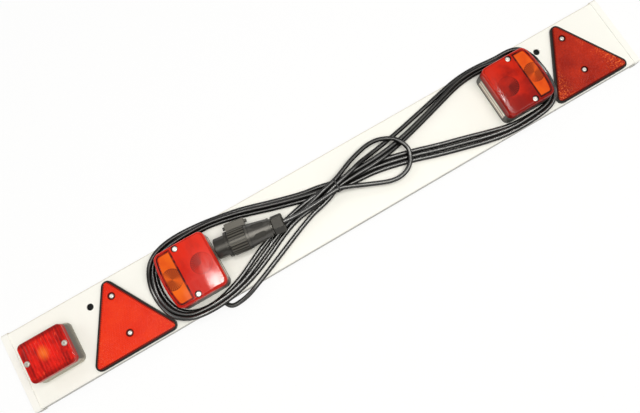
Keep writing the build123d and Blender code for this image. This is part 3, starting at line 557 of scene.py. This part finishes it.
def plug_finish(name, gloss):
    """Charcoal plug moulding with a satin eroded grain; painted shade in its grip's grooves, rib crests paler
    where they face up.
    """
    f = Finish(name, {"IOR": gloss, "Specular Tint": (1.0, 0.96, 0.90, 1.0)})
    offset = [place - start for place, start in zip(f.places(), PLUG_NOSE)]
    along = sum(o * a for o, a in zip(offset, PLUG_AXIS))
    square = sum(o * o for o in offset)
    radius = (square - along * along).most(0.0) ** 0.5
    grip = along.band(PLUG_GRIP_START, PLUG_GRIP_END, 0.6)
    ribs = grip * radius.rise(PLUG_GROOVE_RADIUS, PLUG_RIB_RADIUS)
    field = f.mix(f.noise(48.0, 4.0).rise(0.3, 0.8), paint(26, 25, 22), paint(40, 38, 33))
    # Painted shade in the grooves between the grip's ribs
    field = f.mix(grip * (1.0 - ribs) * 0.8, field, paint(8, 8, 7))
    # Rib crests paler where they face up: rubbed wear, with painted highlight on the upper side
    f.set("Base Color", f.mix(ribs * f.upward().rise(0.2, 0.95) * 0.8, field, paint(84, 81, 73)))
    f.set("Roughness", 0.30 + 0.12 * f.noise(240.0, 2.0))
    f.relief(f.noise(1100.0, 2.0), 0.05, 0.0003)
    return f.material


# Finish of each material slot in the record
finishes = {
    "board_white": white_coat("board_satin_white", paint(252, 251, 245), BOARD_HALF_HEIGHT, 0.36),
    "cap_white": white_coat("cap_white_plastic", paint(253, 252, 247), CAP_HALF_HEIGHT, 0.42),
    "lamp_black": moulded("lamp_base_black", paint(78, 76, 71), 0.42, 1300.0, 0.0004),
    "seal_rubber": moulded("lens_seal_rubber", paint(24, 24, 24), 0.72, 700.0, 0.0004),
    "window_clear": window_finish(),
    "screw_chrome": bright_metal("screw_bright_chrome", paint(246, 244, 238), 0.6, 0.22, 420.0),
    "zinc_steel": bright_metal("fixing_zinc_steel", paint(190, 190, 186), 1.0, 0.26, 260.0),
    "holder_steel": bright_metal("bulb_holder_steel", paint(196, 194, 188), 1.0, 0.24, 300.0),
    "bulb_glass": glass_finish(),
    "fog_grey": fog_base_finish(),
    "fog_red": fog_lens_finish(),
    "reflector_black": moulded("reflector_backing_black", paint(24, 24, 22), 0.45, 1200.0, 0.0003, 0.25),
    "grommet_rubber": moulded("grommet_black_rubber", paint(26, 26, 26), 0.66, 800.0, 0.0004),
    "cable_black": cable_finish(),
    "tie_black": moulded("tie_black_nylon", paint(30, 30, 31), 0.40, 1500.0, 0.0002),
    "plug_charcoal": plug_finish("plug_charcoal_moulding", 1.64),
    "plug_brass": bright_metal("pin_brass", paint(214, 178, 96), 1.0, 0.18, 420.0),
}
# Finishes of single nodes, where they differ from that of the slot
own = {
    "left_red_lens": red_lens_finish(
        "left_lens_red", LEFT_LAMP, -1.0, deep=paint(202, 28, 7), bright=paint(222, 37, 9),
        fan_side=(0.72, 0.65), painted_light_side=(-0.5, 0.84), optic_shade=0.7,
    ),
    # The right lens takes darker reds than the left one as painted shade; both lenses are the same red
    "right_red_lens": red_lens_finish(
        "right_lens_red", RIGHT_LAMP, 1.0, deep=paint(146, 18, 8), bright=paint(204, 35, 12),
        fan_side=(0.75, -0.61), painted_light_side=(-0.26, 0.94), optic_shade=1.0,
    ),
    "left_amber_lens": amber_lens_finish(
        "left_lens_amber", LEFT_LAMP, -1.0, deep=paint(222, 74, 4), bright=paint(242, 104, 12),
        fan_side=(0.60, -0.80),
    ),
    "right_amber_lens": amber_lens_finish(
        "right_lens_amber", RIGHT_LAMP, 1.0, deep=paint(218, 70, 4), bright=paint(238, 96, 10),
        fan_side=(0.60, -0.80),
    ),
    "left_reflector_plate": reflector_finish(
        "left_reflector_red", LEFT_REFLECTOR_X, deep=paint(226, 38, 8), bright=paint(238, 54, 16),
        spark=paint(244, 104, 50), sparkle=0.35,
    ),
    # The right plate takes darker reds than the left one as painted shade; both plates are the same red
    "right_reflector_plate": reflector_finish(
        "right_reflector_red", RIGHT_REFLECTOR_X, deep=paint(150, 26, 8), bright=paint(190, 42, 14),
        spark=paint(246, 112, 44), sparkle=1.0,
    ),
    "plug_gland_nut": plug_finish("plug_nut_dull_moulding", 1.47),
    "plug_rear": plug_finish("plug_cone_satin_moulding", 1.9),
    "fog_lamp_screws": bright_metal("fog_screw_dull_chrome", paint(206, 202, 192), 0.6, 0.28, 420.0),
}


def dress_nodes():
    """Gives every CAD node its own finish, or else that of its slot in the record."""
    slot_of = {part["node"]: part["material_slot"] for part in frame["record"]["subparts"]}
    for name, node in nodes.items():
        node.data.materials.clear()
        node.data.materials.append(own.get(name) or finishes[slot_of[name]])


# Repeating detail, grown by Geometry Nodes

class Recipe:
    """Geometry node tree with named inputs; sums on fields use the same wires as a finish."""

    def __init__(self, name, inputs):
        self.tree = bpy.data.node_groups.new(name, "GeometryNodeTree")
        self.identifiers = {}
        for label, kind in inputs.items():
            socket = self.tree.interface.new_socket(label, in_out="INPUT", socket_type=kind)
            self.identifiers[label] = socket.identifier
        self.tree.interface.new_socket("Geometry", in_out="OUTPUT", socket_type="NodeSocketGeometry")
        self.source = self.tree.nodes.new("NodeGroupInput")
        self.sink = self.tree.nodes.new("NodeGroupOutput")

    node = Finish.node
    feed = Finish.feed

    def given(self, label):
        return Wire(self, self.source.outputs[label])

    def finish(self, instances):
        """Makes the instances real, sets their material and ends the tree."""
        real = self.node("GeometryNodeRealizeInstances", {}, {0: instances})
        material = self.given("Material")
        done = self.node("GeometryNodeSetMaterial", {}, {"Geometry": real, "Material": material})
        self.tree.links.new(done.socket, self.sink.inputs[0])


def grown_piece(name, recipe, values):
    """Runs a recipe once and keeps its result as a plain mesh."""
    piece = bpy.data.objects.new(name, bpy.data.meshes.new(name))
    bpy.context.scene.collection.objects.link(piece)
    growth = piece.modifiers.new("growth", "NODES")
    growth.node_group = recipe.tree
    for label, value in values.items():
        growth[recipe.identifiers[label]] = value
    graph = bpy.context.evaluated_depsgraph_get()
    mesh = bpy.data.meshes.new_from_object(piece.evaluated_get(graph))
    piece.modifiers.remove(growth)
    piece.data = mesh
    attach(piece, "root")


def prism_recipe():
    """Six-sided cells on a staggered grid, kept inside a triangle and clear of its two screw wells."""
    r = Recipe("prism_cells", {
        "Middle X": "NodeSocketFloat",
        "Pitch": "NodeSocketFloat",
        "Height": "NodeSocketFloat",
        "Tilt": "NodeSocketFloat",
        "Seed": "NodeSocketInt",
        "Material": "NodeSocketMaterial",
    })
    pitch = r.given("Pitch")
    row = pitch * TRIANGLE_RISE
    side = REFLECTOR_SIDE / 1000
    height = side * TRIANGLE_RISE
    across = (side / pitch).floor()
    up = (height / row).floor()
    grid = r.node("GeometryNodeMeshGrid", {}, {
        "Size X": (across - 1.0) * pitch,
        "Size Y": (up - 1.0) * row,
        "Vertices X": across,
        "Vertices Y": up,
    })
    place = r.node("GeometryNodeInputPosition", {}, {})
    v = r.node("ShaderNodeSeparateXYZ", {}, {0: place}, 1)
    # Rows are counted from far below the plate and a quarter row off, so that each has a sure number
    far_below = 1000.25
    number = (v / row + far_below).floor()
    shift = (number % 2.0) * pitch * 0.5
    step = r.node("ShaderNodeCombineXYZ", {}, {
        0: shift + r.given("Middle X"),
        1: REFLECTOR_BASE_Y / 1000 + height / 2,
        2: REFLECTOR_TOP_Z / 1000,
    })
    points = r.node("GeometryNodeMeshToPoints", {}, {"Mesh": grid})
    points = r.node("GeometryNodeSetPosition", {}, {"Geometry": points, "Offset": step})
    x, y = [r.node("ShaderNodeSeparateXYZ", {}, {0: place}, axis) for axis in (0, 1)]
    u = (x - r.given("Middle X")) * 1000.0
    y = y * 1000.0
    depth = reflector_depth(u, y - REFLECTOR_BASE_Y) - (REFLECTOR_RIM + PRISM_RIM_GAP)
    for screw_y in REFLECTOR_SCREW_YS:
        depth = depth.least(distance(u, y - screw_y) - (REFLECTOR_WELL_RADIUS + PRISM_WELL_GAP))
    outside = r.node("FunctionNodeCompare", {"operation": "LESS_THAN"}, {0: depth, 1: 0.0})
    points = r.node("GeometryNodeDeleteGeometry", {"domain": "POINT"}, {
        "Geometry": points,
        "Selection": outside,
    })
    cell = r.node("GeometryNodeMeshCone", {"fill_type": "NONE"}, {
        "Vertices": PRISM_SIDES,
        "Radius Top": 0.0,
        "Radius Bottom": pitch * PRISM_RADIUS_PER_PITCH,
        "Depth": r.given("Height"),
    })
    lean = r.node("FunctionNodeRandomValue", {"data_type": "FLOAT_VECTOR"}, {
        "Min": (-1.0, -1.0, 0.0),
        "Max": (1.0, 1.0, 0.0),
        "Seed": r.given("Seed"),
    })
    lean = r.node("ShaderNodeVectorMath", {"operation": "SCALE"}, {0: lean, "Scale": r.given("Tilt")})
    cells = r.node("GeometryNodeInstanceOnPoints", {}, {"Points": points, "Instance": cell, "Rotation": lean})
    r.finish(cells)
    return r


def flute_recipe():
    """Row of shallow rounded flutes of uneven length across the front of the fog lamp's lens."""
    r = Recipe("lens_flutes", {
        "Count": "NodeSocketInt",
        "Pitch": "NodeSocketFloat",
        "Length": "NodeSocketFloat",
        "Height": "NodeSocketFloat",
        "Seed": "NodeSocketInt",
        "Material": "NodeSocketMaterial",
    })
    step = r.node("ShaderNodeCombineXYZ", {}, {0: r.given("Pitch")})
    start = r.node("ShaderNodeCombineXYZ", {}, {
        0: FOG_LAMP[0] / 1000 - (r.given("Count") - 1.0) * r.given("Pitch") * 0.5,
        1: FOG_LAMP[1] / 1000,
        2: FOG_FRONT_Z / 1000,
    })
    line = r.node("GeometryNodeMeshLine", {}, {
        "Count": r.given("Count"),
        "Start Location": start,
        "Offset": step,
    })
    radius = r.given("Pitch") * FLUTE_RADIUS_PER_PITCH
    rod = r.node("GeometryNodeMeshCylinder", {}, {
        "Vertices": FLUTE_SIDES,
        "Radius": radius,
        "Depth": r.given("Length"),
    })
    laid = r.node("GeometryNodeTransform", {}, {"Geometry": rod, "Rotation": (math.pi / 2, 0.0, 0.0)})
    shares = {2: FLUTE_SHORTEST, 3: 1.0, "Seed": r.given("Seed")}
    uneven = r.node("FunctionNodeRandomValue", {"data_type": "FLOAT"}, shares, 1)
    flat = r.node("ShaderNodeCombineXYZ", {}, {
        0: 1.0,
        1: uneven,
        2: r.given("Height") / radius,
    })
    rods = r.node("GeometryNodeInstanceOnPoints", {}, {"Points": line, "Instance": laid, "Scale": flat})
    r.finish(rods)
    return r


def make_lens_detail():
    """Prism cells on both reflectors, tilted a little at random, and flutes on the fog lamp's lens."""
    cells = prism_recipe()
    # Side, middle, tilt in radians and seed of the tilt
    plates = (("left", LEFT_REFLECTOR_X, 0.02, 3), ("right", RIGHT_REFLECTOR_X, 0.05, 8))
    for side, middle_x, tilt, seed in plates:
        grown_piece(side + "_prism_cells", cells, {
            "Middle X": middle_x / 1000,
            "Pitch": PRISM_PITCH / 1000,
            "Height": PRISM_HEIGHT / 1000,
            "Tilt": tilt,
            "Seed": seed,
            "Material": own[side + "_reflector_plate"],
        })
    grown_piece("fog_lens_flutes", flute_recipe(), {
        "Count": FLUTE_COUNT,
        "Pitch": FLUTE_PITCH / 1000,
        "Length": FLUTE_LENGTH / 1000,
        "Height": FLUTE_HEIGHT / 1000,
        "Seed": 5,
        "Material": finishes["fog_red"],
    })


# Cable: the lead from the lower flange, three figure-eight turns round both lamps, the loop and the plug lead

lead_points = [
    (-257.0, -58.0, 10.0),
    (-257.0, -82.0, 10.0),
    (-222.0, -82.0, 14.5),
    (-190.0, -71.8, 24.2),
    (-124.0, -44.5, 24.2),
    (-56.0, -16.0, 24.2),
    (-16.0, -8.5, 29.0),
]

loop_points = [
    (24.0, 20.0, 37.0),
    (58.0, 34.5, 35.0),
    (104.0, 45.0, 33.4),
    (135.6, 31.8, 37.8),
    (147.1, 15.5, 40.4),
    (154.5, -4.5, 34.2),
    (138.0, -31.0, 32.6),
    (106.0, -39.0, 31.0),
    (62.0, -20.5, 30.0),
    (26.0, -5.6, 36.2),
]

plug_lead_points = [
    (-8.0, -1.8, 39.4),
    (-46.3, -6.0, 42.7),
    (-88.6, -7.2, 48.9),
    (-116.2, -3.2, 47.4),
]

# Inner and outer strand of the hank at each station, from the tie round the right lamp and back,
# or all three strands where the middle one has a place of its own
right_stations = [
    ((95.0, 5.5, 34.0), (93.0, 13.6, 33.6), (88.0, 25.5, 26.5)),
    ((153.5, 18.0, 24.2), (151.6, 21.6, 31.1), (145.0, 35.0, 24.2)),
    ((222.8, 36.6, 24.2), (221.8, 40.2, 31.1), (218.8, 51.0, 24.2)),
    ((260.6, 47.6, 24.2), (259.5, 51.4, 31.1), (257.0, 59.6, 24.2)),
    ((299.4, 57.8, 24.2), (297.6, 68.6, 24.2)),
    ((338.5, 60.5, 24.2), (337.6, 70.2, 24.4)),
    ((378.0, 57.0, 24.2), (378.4, 65.2, 28.0)),
    ((392.0, 56.8, 24.2), (392.0, 57.4, 32.2), (392.5, 64.8, 31.0)),
    ((404.4, 56.5, 24.2), (404.4, 56.7, 32.2), (405.0, 62.8, 36.6)),
    ((413.6, 56.5, 24.2), (413.7, 56.7, 32.2), (414.6, 59.2, 39.6)),
    ((421.9, 52.5, 24.2), (422.0, 52.7, 32.2), (422.8, 53.6, 40.4)),
    ((427.6, 45.2, 24.2), (427.8, 45.3, 32.1), (428.6, 46.0, 40.0)),
    ((429.5, 36.2, 24.2), (430.2, 36.4, 32.0), (432.6, 37.4, 38.8)),
    ((431.0, 27.0, 24.2), (432.2, 27.2, 31.8), (439.4, 29.4, 33.6)),
    ((432.3, 14.0, 24.2), (443.0, 16.0, 29.0)),
    ((432.5, -1.0, 24.2), (446.0, -3.0, 26.0)),
    ((431.5, -22.0, 24.2), (442.5, -25.0, 28.0)),
    ((426.5, -43.0, 24.2), (427.6, -43.8, 32.0), (433.3, -47.0, 36.6)),
    ((410.0, -55.5, 24.2), (410.5, -56.4, 32.1), (412.0, -63.0, 35.6)),
    ((376.0, -57.0, 24.2), (378.0, -67.5, 32.0)),
    ((335.0, -55.5, 24.2), (328.0, -67.5, 28.0)),
    ((290.0, -43.5, 24.2), (285.0, -59.5, 24.2)),
    ((252.0, -32.5, 24.2), (243.0, -48.5, 24.2)),
    ((204.0, -20.0, 24.2), (195.0, -35.5, 24.2)),
    ((158.0, -5.5, 24.2), (150.0, -20.5, 24.2)),
    ((92.0, 10.5, 24.2), (88.0, -5.5, 24.2)),
]

# The same from the tie round the left lamp and back
left_stations = [
    ((-51.0, 13.5, 24.2), (-47.0, 25.5, 24.2)),
    ((-110.0, 30.0, 24.2), (-104.5, 41.0, 24.2)),
    ((-160.0, 46.5, 24.2), (-153.6, 56.4, 24.2)),
    ((-205.0, 57.0, 24.2), (-203.7, 65.6, 24.2)),
    ((-236.0, 59.5, 24.2), (-234.2, 69.6, 24.6)),
    ((-270.0, 58.0, 24.2), (-268.0, 71.2, 27.0)),
    ((-298.0, 56.5, 24.2), (-297.0, 67.5, 33.0)),
    ((-319.0, 52.0, 24.2), (-320.0, 58.0, 39.0)),
    ((-331.0, 37.0, 24.2), (-337.0, 43.5, 38.5)),
    ((-338.0, 18.4, 24.2), (-349.0, 22.0, 30.0)),
    ((-339.6, -2.0, 24.2), (-353.0, 0.0, 24.4)),
    ((-337.2, -22.3, 24.2), (-350.0, -24.0, 25.0)),
    ((-329.2, -42.5, 24.2), (-340.2, -49.2, 32.0)),
    ((-312.0, -57.5, 24.2), (-316.0, -67.0, 36.0)),
    ((-288.0, -63.5, 24.2), (-289.5, -72.4, 35.0)),
    ((-262.0, -63.0, 24.2), (-258.0, -72.0, 29.0)),
    ((-233.0, -55.5, 24.2), (-224.0, -66.5, 24.2)),
    ((-205.0, -45.5, 24.2), (-188.0, -56.5, 24.2)),
    ((-170.0, -27.5, 24.2), (-149.0, -40.0, 24.2)),
    ((-126.0, -8.5, 24.2), (-113.0, -22.0, 24.2)),
    ((-88.0, 2.0, 24.2), (-80.0, -9.5, 24.2)),
]

# Which strand each turn is at either lamp, counted from the innermost
right_lanes = (0, 2, 1)
left_lanes = (2, 0, 1)

# Where each turn goes through the tie on its way to the right lamp, and on its way to the left one
through_right = [
    [(10.0, 3.2, 32.0), (45.0, 5.8, 32.4)],
    [(-46.0, -6.0, 26.0), (-20.0, 0.0, 34.0), (10.0, 7.0, 38.8), (45.0, 14.5, 40.4), (65.0, 21.0, 36.5)],
    [(-50.0, 8.5, 30.0), (-20.0, 10.5, 32.2), (10.0, 10.8, 32.0), (45.0, 13.6, 32.4)],
]
through_left = [
    [(45.0, 13.2, 24.3), (10.0, 14.6, 25.3), (-20.0, 22.4, 24.2)],
    [(45.0, -2.6, 24.3), (10.0, -0.6, 25.3), (-20.0, 6.2, 24.2)],
    [(45.0, 5.2, 24.3), (10.0, 7.0, 25.3), (-20.0, 14.4, 24.2)],
]
to_loop = [(-57.0, -0.4, 28.6), (-34.0, 4.2, 35.6), (-14.0, 9.5, 39.8), (10.0, 14.6, 38.8)]
from_loop = [(10.0, -0.6, 38.8)]


def strand(station, lane):
    """Point of one strand at a station; the middle one lies on the other two where they are close."""
    if len(station) == 3:
        return station[lane]
    inner, outer = (Vector(place) for place in station)
    place = inner.lerp(outer, lane / 2)
    if lane == 1:
        apart = outer - inner
        level = Vector((apart.x, apart.y, 0.0))
        off = level.normalized() * -apart.z + Vector((0.0, 0.0, level.length))
        place += off.normalized() * math.sqrt(max(0.0, CABLE_DIAMETER ** 2 - apart.length_squared / 4))
    return tuple(place)


def cable_route():
    """Control points of the whole cable, from the flange to the plug."""
    route = list(lead_points)
    turns = zip(through_right, right_lanes, through_left, left_lanes)
    for to_right, right_lane, to_left, left_lane in turns:
        route += to_right + [strand(station, right_lane) for station in right_stations]
        route += to_left + [strand(station, left_lane) for station in left_stations]
    return route + to_loop + loop_points + from_loop + plug_lead_points


def smooth_curve(name, points, radius, finish):
    """Round cable on one open spline with the route's points as its control points."""
    curve = bpy.data.curves.new(name, "CURVE")
    curve.dimensions = "3D"
    line = curve.splines.new("NURBS")
    line.points.add(len(points) - 1)
    for place, point in zip(line.points, points):
        place.co = (*metres(point), 1.0)
    line.order_u = 3
    line.use_endpoint_u = True
    line.resolution_u = 14
    curve.bevel_depth = radius / 1000
    curve.bevel_resolution = 8
    curve.use_fill_caps = True
    curve.materials.append(finish)
    piece = bpy.data.objects.new(name, curve)
    bpy.context.scene.collection.objects.link(piece)
    return piece


def mesh_piece(name, mesh, finish):
    """Object at the origin for a finished mesh, riding on the board."""
    piece = bpy.data.objects.new(name, mesh)
    bpy.context.scene.collection.objects.link(piece)
    piece.data.materials.append(finish)
    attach(piece, "root")
    return piece


def tie_band():
    """Nylon band pulled round the crossing."""
    low_y = TIE_LOW_Y + TIE_CORNER
    high_y = TIE_HIGH_Y - TIE_CORNER
    low_z = TIE_LOW_Z + TIE_CORNER
    high_z = TIE_HIGH_Z - TIE_CORNER
    path = []
    for centre_y, centre_z, start in (
        (high_y, high_z, 0),
        (low_y, high_z, 90),
        (low_y, low_z, 180),
        (high_y, low_z, 270),
    ):
        for step in range(TIE_CORNER_STEPS + 1):
            turn = math.radians(start + 90 * step / TIE_CORNER_STEPS)
            path.append((centre_y, centre_z, math.cos(turn), math.sin(turn)))
    bm = bmesh.new()
    rings = []
    for y, z, ny, nz in path:
        ring = []
        for x, inset in ((-0.5, 0.0), (0.5, 0.0), (0.5, TIE_WALL), (-0.5, TIE_WALL)):
            reach = TIE_CORNER - inset
            ring.append(bm.verts.new(metres((TIE_X + x * TIE_WIDTH, y + ny * reach, z + nz * reach))))
        rings.append(ring)
    for here, there in zip(rings, rings[1:] + rings[:1]):
        for i in range(4):
            bm.faces.new((here[i], here[(i + 1) % 4], there[(i + 1) % 4], there[i]))
    bmesh.ops.recalc_face_normals(bm, faces=bm.faces)
    mesh = bpy.data.meshes.new("tie_band")
    bm.to_mesh(mesh)
    bm.free()
    piece = mesh_piece("tie_band", mesh, finishes["tie_black"])
    soften = piece.modifiers.new("soften", "BEVEL")
    soften.width = TIE_EDGE / 1000
    soften.segments = 2
    return piece


def make_cable():
    """Cable along its whole route, with the band that ties it and the plug on its end."""
    cable = smooth_curve("cable_sheath", cable_route(), CABLE_DIAMETER / 2, finishes["cable_black"])
    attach(cable, "root")
    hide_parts("cable_hank", "cable_lead", "cable_loop", "cable_plug_lead")
    band = tie_band()
    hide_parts("cable_tie")
    metres(CABLE_EXIT)


# Studio

def floor_finish():
    """Pale floor that shows white, keeps a light shadow of the board and has painted shade underneath it."""
    f = Finish("studio_floor", {"Roughness": 0.9, "Specular IOR Level": 0.1})
    x, y, _ = f.places()
    past_ends = abs(x).rise(BOARD_HALF_LENGTH - 8.0, BOARD_HALF_LENGTH - 2.0)
    past_edges = abs(y).rise(BOARD_HALF_HEIGHT - 8.0, BOARD_HALF_HEIGHT - 2.0)
    covered = (1.0 - past_ends) * (1.0 - past_edges)
    pale = f.mix(f.noise(3.0, 2.0), paint(252, 252, 252), paint(250, 250, 250))
    # Painted shade: the floor under the board is dark grey
    f.set("Base Color", f.mix(covered, pale, paint(40, 40, 40)))
    path = f.tree.nodes.new("ShaderNodeLightPath").outputs
    rays = ("Is Camera Ray", "Is Glossy Ray", "Is Transmission Ray")
    seen = sum(Wire(f, path[ray]) for ray in rays)
    glow = f.node("ShaderNodeEmission", {}, {"Color": (1.0, 1.0, 1.0, 1.0), "Strength": 1.0})
    shader = Wire(f, f.shader.outputs[0])
    far = distance(x, y).rise(900.0, 1600.0)
    factor = seen.least(1.0) * (1.0 - 0.985 * covered) * (0.86 + 0.14 * far)
    both = f.node("ShaderNodeMixShader", {}, {0: factor, 1: shader, 2: glow})
    f.tree.links.new(both.socket, f.tree.nodes["Material Output"].inputs["Surface"])
    return f.material


def softbox(name, place, aim, size, power, turn=0.0, colour=WARM_WHITE, shape="RECTANGLE"):
    """Flat lamp that faces a point, turned about its own axis by some degrees."""
    light = bpy.data.lights.new(name, "AREA")
    light.shape = shape
    light.size, light.size_y = size
    light.energy = power
    light.color = colour
    lamp = bpy.data.objects.new(name, light)
    lamp.location = place
    facing = (Vector(aim) - Vector(place)).to_track_quat("-Z", "Y")
    lamp.rotation_euler = (facing @ Quaternion((0.0, 0.0, 1.0), math.radians(turn))).to_euler()
    bpy.context.scene.collection.objects.link(lamp)


def room():
    """Even pale room that shows white behind the floor."""
    world = bpy.data.worlds.new("studio_room")
    world.use_nodes = True
    tree = world.node_tree
    seen = tree.nodes.new("ShaderNodeLightPath").outputs["Is Camera Ray"]
    level = tree.nodes.new("ShaderNodeMapRange")
    tree.links.new(seen, level.inputs[0])
    level.inputs[3].default_value = ROOM_LIGHT
    level.inputs[4].default_value = ROOM_SEEN
    background = tree.nodes["Background"]
    background.inputs["Color"].default_value = (1.0, 1.0, 1.0, 1.0)
    tree.links.new(level.outputs[0], background.inputs["Strength"])
    bpy.context.scene.world = world


def studio_floor():
    """Wide floor just under the board."""
    bm = bmesh.new()
    bmesh.ops.create_grid(bm, x_segments=4, y_segments=4, size=FLOOR_SIZE)
    bmesh.ops.translate(bm, verts=bm.verts, vec=(0.0, 0.0, -FLOOR_DROP))
    mesh = bpy.data.meshes.new("floor")
    bm.to_mesh(mesh)
    bm.free()
    mesh.materials.append(floor_finish())
    floor = bpy.data.objects.new("floor", mesh)
    bpy.context.scene.collection.objects.link(floor)


def studio_lights():
    """Wide bank over the front, soft boxes on all sides and two small ones that glint on the lenses."""
    softbox("front_bank", place=(0.25, -0.45, 2.0), aim=(0.25, -0.45, 0.0),
            size=(2.4, 1.0), power=29.0, colour=WARMER_WHITE)
    softbox("overhead_box", place=(-0.35, 0.25, 2.0), aim=(-0.35, 0.25, 0.0),
            size=(1.10, 0.25), power=1.0, turn=6.5)
    softbox("left_glint", place=(-0.19, 0.255, 2.0), aim=(-0.24, -0.05, 0.06),
            size=(0.36, 0.11), power=4.8, turn=8.0, shape="ELLIPSE")
    softbox("right_glint", place=(0.76, 0.275, 2.0), aim=(0.37, 0.0, 0.06),
            size=(0.05, 0.16), power=1.7)
    softbox("left_box", place=(-1.6, 0.95, 1.6), aim=(-0.1, 0.0, 0.0), size=(1.0, 1.0), power=5.5)
    softbox("back_box", place=(0.3, 1.9, 1.7), aim=(0.1, 0.0, 0.0), size=(1.6, 0.8), power=4.0)
    softbox("right_box", place=(2.3, 0.5, 1.35), aim=(0.0, 0.0, 0.0), size=(1.0, 1.0), power=4.5)
    softbox("low_front_box", place=(-0.9, -2.0, 0.5), aim=(-0.2, 0.0, 0.0), size=(2.0, 0.6), power=3.4)


def photo_camera():
    """Camera at the photograph's viewing angle."""
    view = bpy.data.cameras.new("photo_view")
    view.sensor_fit = "HORIZONTAL"
    view.sensor_width = CAMERA_SENSOR
    view.lens = CAMERA_FOCAL
    camera = bpy.data.objects.new("photo_view", view)
    camera.location = CAMERA_PLACE
    camera.rotation_euler = tuple(math.radians(angle) for angle in CAMERA_TURN)
    bpy.context.scene.collection.objects.link(camera)
    bpy.context.scene.camera = camera


dress_nodes()
make_lens_detail()
make_cable()
studio_floor()
studio_lights()
room()
photo_camera()
bpy.context.scene.view_settings.view_transform = "Standard"
